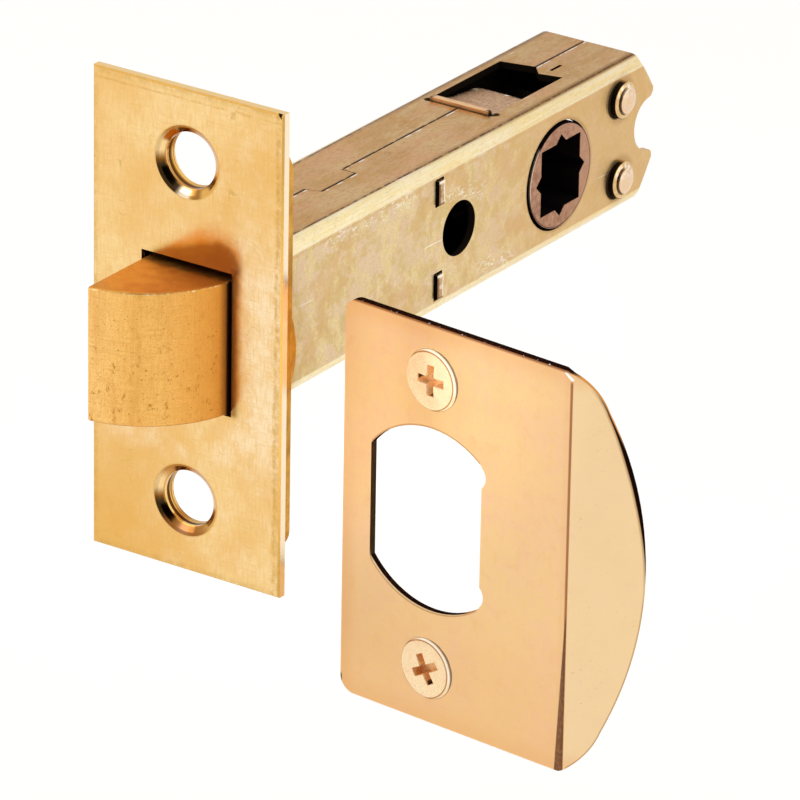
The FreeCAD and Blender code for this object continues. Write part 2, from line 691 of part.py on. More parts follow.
def make_hub():
    # A barrel inside the case with a journal at each end, a flange, two horns and the spindle socket.
    body = new_body("hub")
    reach = half_case_width + size("hub_proud")
    barrel_end = inner_width - size("journal_inside")
    sketch = new_sketch(body, "barrel_outline", "YZ_Plane")
    trace_circle(sketch, hub_centre, hub_level, size("hub_neck"))
    pad(body, "barrel", sketch, barrel_end * 2, 0)
    for name, start in (("right_journal", barrel_end), ("left_journal", -reach)):
        sketch = new_sketch(body, f"{name}_outline", "YZ_Plane", start)
        trace_circle(sketch, hub_centre, hub_level, size("hub_radius"))
        pad(body, name, sketch, reach - barrel_end, 1)
    sketch = new_sketch(body, "flange_outline", "YZ_Plane", size("leg_gap") - inner_width)
    trace_circle(sketch, hub_centre, hub_level, size("hub_flange"))
    pad(body, "flange", sketch, size("flange_thick"), 1)

    # The horns' front corners push the lugs; the flanks behind them lean back to the barrel.
    horn_left = (slide_right + size("leg_gap") + lug_end - size("horn_thick")) / 2
    corner = hub_centre - half_throw
    barrel_level = root(size("hub_neck") * size("hub_neck") - half_throw * half_throw)
    sketch = new_sketch(body, "horn_outline", "YZ_Plane", horn_left)
    for side in (1, -1):
        trace(sketch, [
            (corner, hub_level + side * lug_level), (corner, hub_level + side * barrel_level / 2),
            (hub_centre - size("hub_neck") + size("horn_root"), hub_level + side * size("horn_foot")),
            (corner - size("horn_width"), hub_level + side * (lug_level - size("horn_lean")))])
    pad(body, "horns", sketch, size("horn_thick"), 1)

    # The second square stands on its corner, so its half diagonal counts.
    half_large = size("socket_large") / 2
    half_small = size("socket_small") / math.sqrt(2)
    sketch = new_sketch(body, "large_square", "YZ_Plane")
    trace_box(sketch, hub_centre - half_large, hub_level - half_large,
              hub_centre + half_large, hub_level + half_large)
    pocket(body, "large_socket", sketch, reach * 2 + 1, 0)
    sketch = new_sketch(body, "small_square", "YZ_Plane")
    trace(sketch, [
        (hub_centre - half_small, hub_level), (hub_centre, hub_level + half_small),
        (hub_centre + half_small, hub_level), (hub_centre, hub_level - half_small)])
    pocket(body, "small_socket", sketch, reach * 2 + 1, 0)
    return body


def make_spring(name, coil, wire, turns, begin, end):
    # The coil runs along local Y from the body's own origin.
    body = new_body(name)
    radius = wire / 2
    length = end - begin - wire
    sketch = new_sketch(body, f"{name}_wire", "XY_Plane")
    trace_circle(sketch, coil, radius, radius)
    feature = body.newObject("PartDesign::AdditiveHelix", f"{name}_coil")
    feature.Profile = sketch
    feature.ReferenceAxis = (origin_feature(body, "Y_Axis"), [""])
    feature.Mode = "height-turns-growth"
    feature.Height = length.value
    feature.Turns = turns.value
    feature.setExpression("Height", length.formula)
    feature.setExpression("Turns", turns.formula)
    doc.recompute()
    body.Placement = Placement(Vector(size("bolt_side").value, begin.value, bolt_middle.value), Rotation())
    body.setExpression("Placement.Base.x", size("bolt_side").formula)
    body.setExpression("Placement.Base.y", begin.formula)
    body.setExpression("Placement.Base.z", bolt_middle.formula)
    return body


def make_tail_rivets():
    # Two alike, each turned about a line along X, through both case walls, with a stepped head outside each.
    body = new_body("tail_rivets")
    half_inside = inner_width - size("case_gap")
    head = rivet_y + size("rivet_head")
    button = rivet_y + size("button_radius")
    shank = rivet_y + size("rivet_shank")
    barrel = rivet_y + size("rivet_body")
    side = half_case_width + size("rivet_side")
    step = half_case_width + size("rivet_step")
    crown_start = half_case_width + size("button_side")
    crown = half_case_width + size("button_crown")
    rise = size("button_crown") - size("button_side")
    crown_curve = (size("button_radius") * size("button_radius") + rise * rise) / (2 * rise)
    edge_curve = size("rivet_round")
    sketch = new_sketch(body, "rivet_profile", "XY_Plane", size("rivet_level"))
    trace_axis(sketch, (-crown, rivet_y), (crown, rivet_y))
    trace(sketch, [
        (-crown, rivet_y, crown_curve, 1), (-crown_start, button), (-step, button, edge_curve, 1),
        (-side, head), (-half_case_width, head), (-half_case_width, shank), (-half_inside, shank),
        (-half_inside, barrel), (half_inside, barrel), (half_inside, shank), (half_case_width, shank),
        (half_case_width, head), (side, head, edge_curve, 1), (step, button),
        (crown_start, button, crown_curve, 1), (crown, rivet_y)])
    upper = revolve(body, "rivet_turned", sketch)
    mirror(body, "rivet_pair", [upper], "XY_Plane")
    return body


def stand_beside_case(body):
    # Local X runs along the strike's face from its left edge, local Y out of its back, local Z up.
    for axis, alias in zip("xyz", ("strike_x", "strike_y", "strike_z")):
        body.setExpression(f"Placement.Base.{axis}", size(alias).formula)
    spot = Vector(size("strike_x").value, size("strike_y").value, size("strike_z").value)
    body.Placement = Placement(spot, Rotation(Vector(0, 0, -1), size("strike_turn").value))
    body.setExpression("Placement.Rotation.Angle", size("strike_turn").formula)


def make_strike():
    body = new_body("strike_plate")
    half_high = size("strike_height") / 2
    thick = size("strike_thick")
    angle = size("lip_angle")
    crease = size("strike_flat")
    bend = size("lip_bend")
    flat_end = crease - bend * sine(angle / 2)
    lip_start_x = flat_end + bend * sine(angle)
    lip_start_y = bend - bend * cosine(angle)
    straight = size("lip_reach") - bend * sine(angle / 2)
    lip_end_x = lip_start_x + straight * cosine(angle)
    lip_end_y = lip_start_y + straight * sine(angle)
    back_x = thick * sine(angle)
    back_y = thick * cosine(angle)
    sketch = new_sketch(body, "strike_section", "XY_Plane", -half_high)
    trace(sketch, [
        (0, 0), (flat_end, 0, bend, -1), (lip_start_x, lip_start_y), (lip_end_x, lip_end_y),
        (lip_end_x - back_x, lip_end_y + back_y),
        (lip_start_x - back_x, lip_start_y + back_y, bend - thick, 1), (flat_end, thick), (0, thick)])
    pad(body, "bent_sheet", sketch, size("strike_height"), 1)
    soften(body, "left_corners", "Fillet", size("strike_corner"),
           lambda edge: near(edge.BoundBox.XMax, 0) and edge.BoundBox.ZLength < 0.01)
    shape_lip(body, half_high, crease)
    cut_mouth(body, thick)
    sink_screws(body, thick)
    stand_beside_case(body)
    return body


def shape_lip(body, half_high, crease):
    # The lip's edge is one large arc with a smaller arc at each corner, cut square to the lip. The sketch
    # lies one sheet thickness in front of the lip.
    corner = size("lip_corner")
    curve = size("lip_curve")
    reach = size("lip_reach")
    turn = reach - (curve - root(curve * curve - corner * corner))
    corner_curve = (half_high - corner) * size("corner_share")
    begin = -size("corner_start")
    beyond = reach + half_high
    above = half_high + 1
    ahead = size("strike_thick")
    plane_x = crease + ahead * sine(size("lip_angle"))
    plane_out = ahead * cosine(size("lip_angle"))
    sketch = new_sketch(body, "lip_outline", "XZ_Plane")
    sketch.AttachmentOffset = Placement(
        Vector(plane_x.value, 0, plane_out.value), Rotation(Vector(0, 1, 0), size("lip_angle").value))
    sketch.setExpression("AttachmentOffset.Base.x", plane_x.formula)
    sketch.setExpression("AttachmentOffset.Base.z", plane_out.formula)
    sketch.setExpression("AttachmentOffset.Rotation.Angle", size("lip_angle").formula)
    trace(sketch, [
        (begin, above), (begin, half_high, corner_curve, 1), (turn, corner, curve, 1),
        (turn, -corner, corner_curve, 1), (begin, -half_high), (begin, -above),
        (beyond, -above), (beyond, above)])
    pocket(body, "lip_shape", sketch, ahead * 3, 1)


def cut_mouth(body, thick):
    # A round hole cut off straight on both sides, with two relief rounds on the lip side.
    rise = size("mouth_rise")
    radius = size("mouth_radius")
    left_span = size("mouth_x") - size("mouth_left")
    right_span = size("mouth_right") - size("mouth_x")
    left_high = root(radius * radius - left_span * left_span)
    right_high = root(radius * radius - right_span * right_span)
    sketch = new_sketch(body, "mouth_outline", "XZ_Plane")
    trace(sketch, [
        (size("mouth_left"), rise - left_high), (size("mouth_left"), rise + left_high, radius, 1),
        (size("mouth_right"), rise + right_high), (size("mouth_right"), rise - right_high, radius, 1)])
    pocket(body, "mouth", sketch, thick, 1)
    sketch = new_sketch(body, "relief_outline", "XZ_Plane")
    for side in (1, -1):
        trace_circle(sketch, size("mouth_right") - size("relief_inset"),
                     rise + side * size("relief_level"), size("relief_radius"))
    pocket(body, "mouth_relief", sketch, thick, 1)


def sink_screws(body, thick):
    across = size("strike_screw_x")
    wide = size("head_radius") + size("head_play")
    slope = (size("head_radius") - size("thread_radius")) / size("head_cone")
    sketch = new_sketch(body, "screw_sink_profile", "XY_Plane", size("strike_spacing") / 2)
    trace_axis(sketch, (across, 0), (across, thick))
    trace(sketch, [(across, 0), (across + wide, 0), (across + wide - thick * slope, thick), (across, thick)])
    upper = groove(body, "screw_sink", sketch)
    mirror(body, "screw_sinks", [upper], "XY_Plane")


def make_strike_screws():
    # Two alike, each turned about a line along local Y, crown to the front.
    body = new_body("strike_screws")
    across = size("strike_screw_x")
    level = size("strike_spacing") / 2
    head = size("head_radius")
    dome = size("head_dome")
    thread = size("thread_radius")
    length = size("screw_length")
    crown_curve = (head * head + dome * dome) / (2 * dome)
    sketch = new_sketch(body, "screw_profile", "XY_Plane", level)
    trace_axis(sketch, (across, -dome), (across, length))
    trace(sketch, [
        (across, -dome, crown_curve, -1), (across + head, 0), (across + thread, size("head_cone")),
        (across + thread, length - size("screw_point")), (across, length)])
    upper = revolve(body, "screw_turned", sketch)
    mirror(body, "screw_pair", [upper], "XY_Plane")
    sketch = new_sketch(body, "cross_recesses", "XZ_Plane", -dome)
    trace_cross(sketch, across, level, 0)
    trace_cross(sketch, across, -level, size("screw_clock"))
    pocket(body, "recesses", sketch, size("recess_depth"), 1)
    stand_beside_case(body)
    return body


def trace_cross(sketch, across, up, clock):
    # The four arms of a cross recess, turned by clock degrees.
    span = size("recess_span")
    wide = size("recess_width")
    corners = []
    for quarter in range(4):
        angle = clock + Size(90.0 * quarter, f"{90 * quarter}")
        for along, side in ((wide, wide), (span, wide), (span, -wide)):
            corners.append((across + along * cosine(angle) - side * sine(angle),
                            up + along * sine(angle) + side * cosine(angle)))
    order = []
    for quarter in range(4):
        inner, far_left, far_right = corners[quarter * 3:quarter * 3 + 3]
        order += [far_right, far_left, inner]
    trace(sketch, order)


bodies = [
    make_faceplate(),
    make_backing_plate(),
    make_case(),
    make_spring_stop(),
    make_bolt(),
    make_bolt_shank(),
    make_bolt_pin(),
    make_shank_washer(),
    make_retractor(),
    make_hub(),
    make_spring("bolt_spring", size("bolt_coil"), size("bolt_wire"), size("bolt_turns"),
                size("bolt_tail") + size("spring_gap"), web_front - size("spring_gap")),
    make_spring("retractor_spring", size("main_coil"), size("main_wire"), size("main_turns"),
                web_back + size("spring_gap"), stop_front - size("spring_gap")),
    make_tail_rivets(),
    make_strike(),
    make_strike_screws(),
]

doc.recompute()
for item in doc.Objects:
    if "Invalid" in item.State or "Error" in item.State:
        raise RuntimeError(f"{item.Name} failed: {item.State}")
pairs = ("tail_rivets", "strike_screws")
for body in bodies:
    shape = body.Shape
    wanted = 2 if body.Label in pairs else 1
    if shape.isNull() or not shape.isValid() or len(shape.Solids) != wanted:
        raise RuntimeError(f"{body.Label} has no valid shape of {wanted} solids")
for body in bodies:
    body.Shape.exportStep(f"parts/{body.Label}.step")
    print(f"{body.Label}: {body.Shape.Volume:.1f} mm3")
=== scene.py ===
import bmesh
import bpy
import math
from mathutils import Matrix, Vector


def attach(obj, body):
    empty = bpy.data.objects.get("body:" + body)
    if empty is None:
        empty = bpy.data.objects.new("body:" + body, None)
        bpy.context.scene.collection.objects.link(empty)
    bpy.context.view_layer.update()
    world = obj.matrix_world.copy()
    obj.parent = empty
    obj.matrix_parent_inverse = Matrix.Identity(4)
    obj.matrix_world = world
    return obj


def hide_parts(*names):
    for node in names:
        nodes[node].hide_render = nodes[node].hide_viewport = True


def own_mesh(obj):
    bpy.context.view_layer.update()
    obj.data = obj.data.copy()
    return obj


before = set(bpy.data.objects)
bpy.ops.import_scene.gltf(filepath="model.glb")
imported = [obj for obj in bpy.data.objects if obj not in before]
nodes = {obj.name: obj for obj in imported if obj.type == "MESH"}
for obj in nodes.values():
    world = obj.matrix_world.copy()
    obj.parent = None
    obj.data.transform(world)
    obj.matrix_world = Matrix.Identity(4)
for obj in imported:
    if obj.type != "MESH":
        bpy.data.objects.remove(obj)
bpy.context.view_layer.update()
print("frame loaded,", len(nodes), "nodes")

mm = 0.001


# sums, soft steps and mixes in one node tree; they give the socket with their result
class Patterns:
    def __init__(self, tree, look):
        self.tree = tree
        self.look = look

    def add(self, kind, **settings):
        node = self.tree.nodes.new(kind)
        for key, value in settings.items():
            setattr(node, key, value)
        return node

    def feed(self, socket, value):
        if isinstance(value, bpy.types.NodeSocket):
            self.tree.links.new(value, socket)
        else:
            socket.default_value = value

    def fill(self, node, values):
        for name, value in values.items():
            self.feed(node.inputs[name], value)

    def calc(self, operation, first, second=0.0, clamp=False):
        node = self.add("ShaderNodeMath", operation=operation, use_clamp=clamp)
        self.fill(node, {0: first, 1: second})
        return node.outputs[0]

    def plus(self, first, second):
        return self.calc("ADD", first, second)

    def minus(self, first, second):
        return self.calc("SUBTRACT", first, second)

    def over(self, first, second):
        return self.calc("DIVIDE", first, second)

    def most(self, first, second):
        return self.calc("MAXIMUM", first, second)

    def least(self, first, second):
        return self.calc("MINIMUM", first, second)

    def size(self, value):
        return self.calc("ABSOLUTE", value)

    def product(self, *factors):
        result = factors[0]
        for factor in factors[1:]:
            result = self.calc("MULTIPLY", result, factor)
        return result

    def ease(self, value, low, high, start=0.0, end=1.0):
        # a soft step of value from low to high
        node = self.add("ShaderNodeMapRange", interpolation_type="SMOOTHSTEP")
        self.fill(node, {"Value": value, "From Min": low, "From Max": high, "To Min": start, "To Max": end})
        return node.outputs["Result"]

    def fall(self, value, low, high):
        return self.ease(value, low, high, 1, 0)

    def between(self, value, low, high, soft=0.03):
        # 1 from low to high, with soft ends
        rising = self.ease(value, low - soft, low + soft)
        return self.product(rising, self.fall(value, high - soft, high + soft))

    def along(self, vector, direction):
        node = self.add("ShaderNodeVectorMath", operation="DOT_PRODUCT")
        self.fill(node, {0: vector, 1: direction})
        return node.outputs["Value"]

    def length(self, first, second):
        return self.calc("SQRT", self.plus(self.product(first, first), self.product(second, second)))

    def distance(self, first, second, centre):
        return self.length(self.minus(first, centre[0]), self.minus(second, centre[1]))

    def toLine(self, first, second, start, end):
        # distance to the straight piece from start to end
        run = (end[0] - start[0], end[1] - start[1])
        away = (self.minus(first, start[0]), self.minus(second, start[1]))
        reach = self.plus(self.product(away[0], run[0]), self.product(away[1], run[1]))
        share = self.calc("DIVIDE", reach, run[0] ** 2 + run[1] ** 2, clamp=True)
        return self.length(self.minus(away[0], self.product(share, run[0])),
                           self.minus(away[1], self.product(share, run[1])))

    def blend(self, factor, first, second):
        # a colour is its name in the look or a socket
        node = self.add("ShaderNodeMix", data_type="RGBA")
        self.feed(node.inputs["Factor"], factor)
        for socket, value in ((node.inputs[6], first), (node.inputs[7], second)):
            self.feed(socket, (*self.look[value], 1.0) if isinstance(value, str) else value)
        return node.outputs[2]


# a coat is one material, painted in layers; its patterns read Object coordinates in millimetres
class Coat(Patterns):
    def __init__(self, name, look, place=(0, 0, 0), turn=0):
        self.material = bpy.data.materials.new(name)
        self.material.use_nodes = True
        super().__init__(self.material.node_tree, look)
        self.shader = self.tree.nodes["Principled BSDF"]
        coords = self.add("ShaderNodeTexCoord").outputs["Object"]
        mapping = self.add("ShaderNodeMapping", vector_type="TEXTURE")
        self.fill(mapping, {"Vector": coords, "Location": [value * mm for value in place],
                            "Rotation": (0, 0, math.radians(turn)), "Scale": (mm, mm, mm)})
        self.spot = mapping.outputs["Vector"]
        split = self.add("ShaderNodeSeparateXYZ")
        self.feed(split.inputs["Vector"], self.spot)
        self.x, self.y, self.z = split.outputs
        self.tone = None
        self.normal = None

    def fromLevel(self, level):
        # height over the nearer of two middles, one at level and one as far below
        return self.minus(self.z, self.product(self.calc("SIGN", self.z), level))

    def facing(self, direction):
        # how far the surface's own normal points along a direction of the object
        return self.along(self.add("ShaderNodeNewGeometry").outputs["True Normal"], direction)

    def noise(self, size, stretch=(1, 1, 1), detail=3.0, rough=0.55, warp=0.0, turn=(0, 0, 0)):
        # size is the width of a blotch in millimetres
        mapping = self.add("ShaderNodeMapping")
        angles = [math.radians(value) for value in turn]
        self.fill(mapping, {"Vector": self.spot, "Scale": stretch, "Rotation": angles})
        node = self.add("ShaderNodeTexNoise")
        self.fill(node, {"Vector": mapping.outputs["Vector"], "Scale": 1 / size, "Detail": detail,
                         "Roughness": rough, "Distortion": warp})
        return node.outputs["Fac"]

    def marks(self, size, low, high, strength=1.0, **settings):
        # where a noise rises over a level
        return self.ease(self.noise(size, **settings), low, high, 0, strength)

    def spread(self, noise, low, high):
        # the usual reach of a noise, turned into low to high
        return self.ease(noise, 0.3, 0.7, low, high)

    def hairlines(self, size, width, strength=1.0, **settings):
        # thin wandering lines, where a smooth noise crosses its middle
        off = self.size(self.minus(self.noise(size, detail=1.0, **settings), 0.5))
        return self.ease(off, 0.0, width, strength, 0.0)

    def lay(self, factor, first, second):
        self.tone = self.blend(factor, first, second)

    def paint(self, colour, *factors):
        # the product of the factors says how much of the colour goes on
        self.tone = self.blend(self.product(*factors), self.tone, colour)

    def bump(self, height, strength, depth=0.05):
        node = self.add("ShaderNodeBump")
        self.fill(node, {"Height": height, "Strength": strength, "Distance": depth * mm})
        if self.normal is not None:
            self.feed(node.inputs["Normal"], self.normal)
        self.normal = node.outputs["Normal"]

    def done(self, roughness, metallic=1.0, dark=None):
        # where dark is 1 the surface neither shines nor mirrors
        if dark is not None:
            metallic = self.product(self.fall(dark, 0, 1), metallic)
            self.feed(self.shader.inputs["Specular IOR Level"], self.ease(dark, 0, 1, 0.5, 0))
        self.fill(self.shader, {"Base Color": self.tone, "Roughness": roughness, "Metallic": metallic,
                                "Normal": self.normal})
        return self.material


def dress(material, name):
    for slot in nodes[name].material_slots:
        slot.material = material


# faceplate: satin brass, handled, with a painted reflection and painted shade of the bolt round its hole
plateLook = {
    "light": (0.92, 0.66, 0.31), "deep": (0.83, 0.5, 0.17), "pale": (0.97, 0.78, 0.51),
    "corner": (0.77, 0.42, 0.1), "paintedShade": (0.24, 0.085, 0.008), "amber": (0.54, 0.33, 0.06),
    "strip": (0.99, 0.84, 0.62), "line": (0.62, 0.33, 0.06), "black": (0.02, 0.01, 0.005),
    "bronze": (0.52, 0.22, 0.04), "barrel": (0.96, 0.62, 0.2), "edge": (0.66, 0.38, 0.1),
    "lowShade": (0.36, 0.13, 0.025),
    "halfWidth": 12.7, "halfHeight": 28.575, "holeLevel": 20.1, "sinkRadius": 4.25, "holeRadius": 3.3,
    "paleRight": (4.5, 8.5), "paleMiddle": (19, 8), "paleLow": (-15.0, -10.5), "cornerReach": (4, 17),
    "humpStart": (-2.6, 6.6), "humpEnd": (4.4, 8.9), "humpReach": (2.8, 4.0), "humpFoot": (7.6, 8.2),
    "boltHoleRight": 6.1, "boltHoleTop": 8.5, "besideTop": 9.5, "besideLeft": (5, 6),
    "rimShade": (7.9, 9.0), "rimRun": (0.5, 6.6),
    "rightLine": (0.55, 0.95), "topLine": (1.05, 1.3), "worn": (0.25, 1.1),
    "cutSum": (40.35, 40.5), "cutRight": (12.4, 12.46), "cutDepth": (0.3, 0.2),
    "shadeSide": (-0.745, -0.667),
}


def plateBody(coat, look):
    coat.lay(coat.marks(17, 0.36, 0.66, detail=2), "light", "deep")
    right = coat.ease(coat.x, *look["paleRight"])
    middle = coat.ease(coat.size(coat.z), *look["paleMiddle"])
    coat.paint("pale", right, middle, coat.marks(3, 0.25, 0.6, 0.9, detail=4))
    lower = coat.between(coat.z, *look["paleLow"], 1.5)
    coat.paint("pale", lower, coat.marks(5, 0.4, 0.65, 0.7, detail=4))
    fromCorner = coat.distance(coat.x, coat.z, (-look["halfWidth"], -look["halfHeight"]))
    coat.paint("corner", coat.ease(fromCorner, *look["cornerReach"], 0.75, 0))
    coat.paint("deep", coat.marks(4.0, 0.42, 0.62, 0.45, detail=7, rough=0.72))
    cloud = coat.marks(3.4, 0.46, 0.66, 0.3, detail=7, rough=0.7)
    coat.paint("pale", cloud, coat.ease(coat.x, -9, 3, 0.3, 1))
    upright = coat.marks(0.24, 0.42, 0.66, 0.42, stretch=(1, 1, 0.12), rough=0.7)
    level = coat.marks(0.24, 0.44, 0.68, 0.38, stretch=(0.12, 1, 1), rough=0.7)
    coat.paint("corner", coat.most(upright, level))
    coat.paint("amber", coat.hairlines(3.0, 0.006, 0.5), coat.marks(5, 0.52, 0.6, detail=2))
    handled = coat.marks(0.8, 0.65, 0.74, 0.4, stretch=(1, 1, 0.35), detail=6, rough=0.75, warp=0.6)
    coat.paint("line", handled)


def plateBoltReflection(coat, look):
    # a painted reflection of the bolt: a brown hump over the bolt hole and a strip beside it; and the painted
    # shade of its rim
    wave = coat.product(coat.noise(2.6, detail=4), 0.9)
    hump = coat.plus(coat.toLine(coat.x, coat.z, look["humpStart"], look["humpEnd"]), wave)
    hump = coat.product(coat.ease(hump, *look["humpReach"], 0.68, 0), coat.ease(coat.z, *look["humpFoot"]))
    edge = look["boltHoleRight"]
    beside = coat.ease(coat.minus(coat.x, wave), edge - 0.1, edge + 1.1, 0.8, 0)
    upright = coat.between(coat.z, -look["boltHoleTop"], look["besideTop"], 0.5)
    beside = coat.product(beside, upright, coat.ease(coat.x, *look["besideLeft"]))
    shade = coat.product(coat.between(coat.z, *look["rimShade"], 0.9),
                         coat.between(coat.x, *look["rimRun"], 1.8), 0.6)
    reflectionAndShade = coat.most(coat.most(hump, beside), shade)
    # the painted reflection and shade, amber at their edges and dark brown within
    coat.paint(coat.blend(coat.ease(reflectionAndShade, 0.2, 0.8), "amber", "paintedShade"), reflectionAndShade)


def plateBorder(coat, look):
    # flecked lines inside the border, a broken front edge, sides painted bright as a painted highlight, and
    # one cut corner
    flecks = coat.marks(0.9, 0.36, 0.62, 0.75, detail=5, rough=0.75)
    wander = coat.product(coat.minus(coat.noise(5, detail=3), 0.5), 0.9)
    fromRight = coat.plus(coat.minus(look["halfWidth"], coat.x), wander)
    coat.paint("line", coat.between(fromRight, *look["rightLine"], 0.22), flecks)
    fromTop = coat.plus(coat.minus(look["halfHeight"], coat.z), coat.product(wander, 0.6))
    coat.paint("line", coat.between(fromTop, *look["topLine"], 0.12), flecks, 0.7)
    inset = coat.least(coat.minus(look["halfWidth"], coat.size(coat.x)),
                       coat.minus(look["halfHeight"], coat.size(coat.z)))
    coat.paint("amber", coat.ease(inset, *look["worn"], 0.6, 0), flecks)
    turned = coat.minus(0.0, coat.facing((0, 1, 0)))
    broken = coat.product(coat.between(turned, 0.5, 0.9), coat.fall(coat.y, 0.22, 0.3))
    coat.paint(coat.blend(coat.marks(0.45, 0.42, 0.6, detail=4, rough=0.7), "edge", "corner"), broken)
    # the sides facing left and right painted pale: a painted highlight
    coat.paint("strip", coat.ease(coat.size(coat.facing((1, 0, 0))), 0.8, 0.9), 0.9)
    topTone = coat.blend(coat.marks(0.7, 0.4, 0.66, detail=5, rough=0.7), "light", "barrel")
    coat.paint(topTone, coat.ease(coat.facing((0, 0, 1)), 0.8, 0.9))
    cut = coat.product(coat.ease(coat.plus(coat.x, coat.z), *look["cutSum"]),
                       coat.fall(coat.x, *look["cutRight"]), coat.ease(coat.y, *look["cutDepth"]))
    coat.paint("black", cut)
    return coat.most(cut, coat.product(broken, 0.85))


def plateSinks(coat, look):
    # both countersinks: a cone painted with light and shade (pale at the left, black at the lower left, a
    # painted highlight at the bottom, darker at the bottom of the lower one), a golden barrel with turning
    # marks
    level = coat.fromLevel(look["holeLevel"])
    radius = coat.length(coat.x, level)
    inside = coat.fall(radius, look["sinkRadius"] - 0.03, look["sinkRadius"] + 0.02)
    slant = coat.plus(coat.product(coat.x, look["shadeSide"][0]), coat.product(level, look["shadeSide"][1]))
    slant = coat.over(slant, radius)
    rise = coat.over(level, radius)
    across = coat.over(coat.x, radius)
    cone = coat.blend(coat.ease(rise, -0.3, 0.9), "corner", "bronze")
    layers = (
        # painted light and shade on the cone, by direction round the hole
        (coat.product(coat.ease(coat.x, -1.5, -3.6), coat.between(rise, -0.15, 0.62, 0.25)), "light"),
        (coat.ease(slant, 0.62, 0.86), "paintedShade"),
        (coat.ease(slant, 0.8, 0.93), "black"),
        (coat.product(coat.ease(rise, -0.9, -0.985), coat.ease(across, 0.1, -0.02), 0.85), "strip"),
        (coat.product(coat.ease(rise, -0.7, -0.85), coat.between(across, 0.1, 0.42, 0.1), 0.8), "paintedShade"),
        (coat.product(coat.ease(rise, -0.55, -0.9), coat.ease(coat.z, 0, -1), 0.9), "lowShade"),
    )
    for factor, colour in layers:
        cone = coat.blend(factor, cone, colour)
    coat.paint(cone, inside, 0.95)
    hole, sink = look["holeRadius"], look["sinkRadius"]
    rings = coat.marks(0.3, 0.42, 0.56, 0.9, stretch=(0.03, 1, 0.03), detail=2)
    coat.paint(coat.blend(rings, "barrel", "bronze"), coat.fall(radius, hole + 0.02, hole + 0.05))
    coat.paint("bronze", coat.between(radius, hole + 0.03, hole + 0.17, 0.04), 0.6)
    coat.paint("amber", coat.between(radius, sink + 0.02, sink + 0.12, 0.06), 0.4)
    return inside


def faceplateCoat(look):
    coat = Coat("satinFaceplateBrass", look)
    plateBody(coat, look)
    plateBoltReflection(coat, look)
    flat = plateBorder(coat, look)
    sunk = plateSinks(coat, look)
    rough = coat.minus(coat.spread(coat.noise(2.4, detail=4), 0.15, 0.25), coat.product(sunk, 0.05))
    coat.bump(coat.noise(0.28, stretch=(1, 1, 0.3), rough=0.7), 0.1, 0.02)
    coat.bump(coat.noise(4.0, detail=6, rough=0.68), 0.12, 0.05)
    return coat.done(rough, dark=flat)


dress(faceplateCoat(plateLook), "faceplate")
print("faceplate dressed")

# backing plate: yellow-plated steel, darker than the face
backingLook = {
    "tone": (0.73, 0.385, 0.06), "dull": (0.48, 0.23, 0.025), "bright": (0.95, 0.6, 0.14),
    "wall": (0.98, 0.64, 0.22), "dark": (0.12, 0.04, 0.005),
    "front": 1.5, "holeLevel": 20.1, "holeRadius": 3.3,
}


def backingCoat(look):
    coat = Coat("yellowBackingSteel", look)
    coat.lay(coat.marks(3.5, 0.35, 0.7, detail=5), "tone", "dull")
    coat.paint("bright", coat.marks(0.7, 0.5, 0.75, 0.6, stretch=(1, 1, 0.2), detail=4))
    coat.paint("dull", coat.marks(0.35, 0.56, 0.72, 0.6, detail=4, rough=0.7))
    # the holes' walls, dark where they meet the faceplate
    radius = coat.distance(coat.x, coat.size(coat.z), (0, look["holeLevel"]))
    rings = coat.marks(0.22, 0.44, 0.56, stretch=(0.03, 1, 0.03), detail=2)
    joint = coat.fall(coat.y, look["front"] + 0.04, look["front"] + 0.12)
    wall = coat.blend(joint, coat.blend(rings, "wall", "dull"), "dark")
    coat.paint(wall, coat.fall(radius, look["holeRadius"] + 0.02, look["holeRadius"] + 0.05))
    fine = coat.noise(0.3, detail=4, rough=0.7)
    coat.bump(fine, 0.25, 0.03)
    return coat.done(coat.spread(fine, 0.32, 0.46))


dress(backingCoat(backingLook), "backing_plate")
print("backing plate dressed")

# case: yellow chromate on one folded steel sheet, with a painted highlight along its folds
caseLook = {
    "olive": (0.66, 0.48, 0.195), "lilac": (0.76, 0.555, 0.375), "straw": (0.82, 0.65, 0.335),
    "tan": (0.66, 0.4, 0.155), "top": (0.58, 0.325, 0.105), "topPink": (0.66, 0.37, 0.165),
    "topGrey": (0.66, 0.44, 0.2), "band": (0.95, 0.78, 0.4), "bandPale": (0.98, 0.9, 0.66),
    "fold": (0.11, 0.05, 0.012), "umber": (0.34, 0.17, 0.045), "white": (1.0, 0.96, 0.88),
    "inside": (0.01, 0.007, 0.005), "halfWidth": 7.25, "halfHeight": 9.13, "sheet": 0.85,
    "crest": (5, 60, 5.7, 6.13), "bandFoot": (7.59, 7.77), "underBand": (7.18, 7.48), "onTop": (9.0, 9.1),
    "foldTop": (8.7, 8.8), "topSkin": 9.12, "topCuts": (5.3, 5.4), "topCutsEnd": (75, 76),
    "sideSkin": 7.24, "sideCuts": (7.3, 7.4), "sideCutsEnd": (78, 79),
    "seam": -0.65, "seamStep": 1.85, "waveStart": 23.4, "waveEnd": 24.1, "runEnd": 30.75,
    "hub": (63.5, -0.25), "rivets": (76.45, 5.0), "rivetShade": (75.9, 5.05),
    "recesses": (((3.2, 54.3), (3.9, 54.9)), ((-4.9, 54.3), (-4.5, 54.7))),
    "rubs": (((17, 6.7), (33, 7.1)), ((41, 4.4), (47, 3.2)), ((48, -6.4), (53, -6.8))),
    "curl": ((-4.6, 58.0), (-4.1, 66.5)),
}


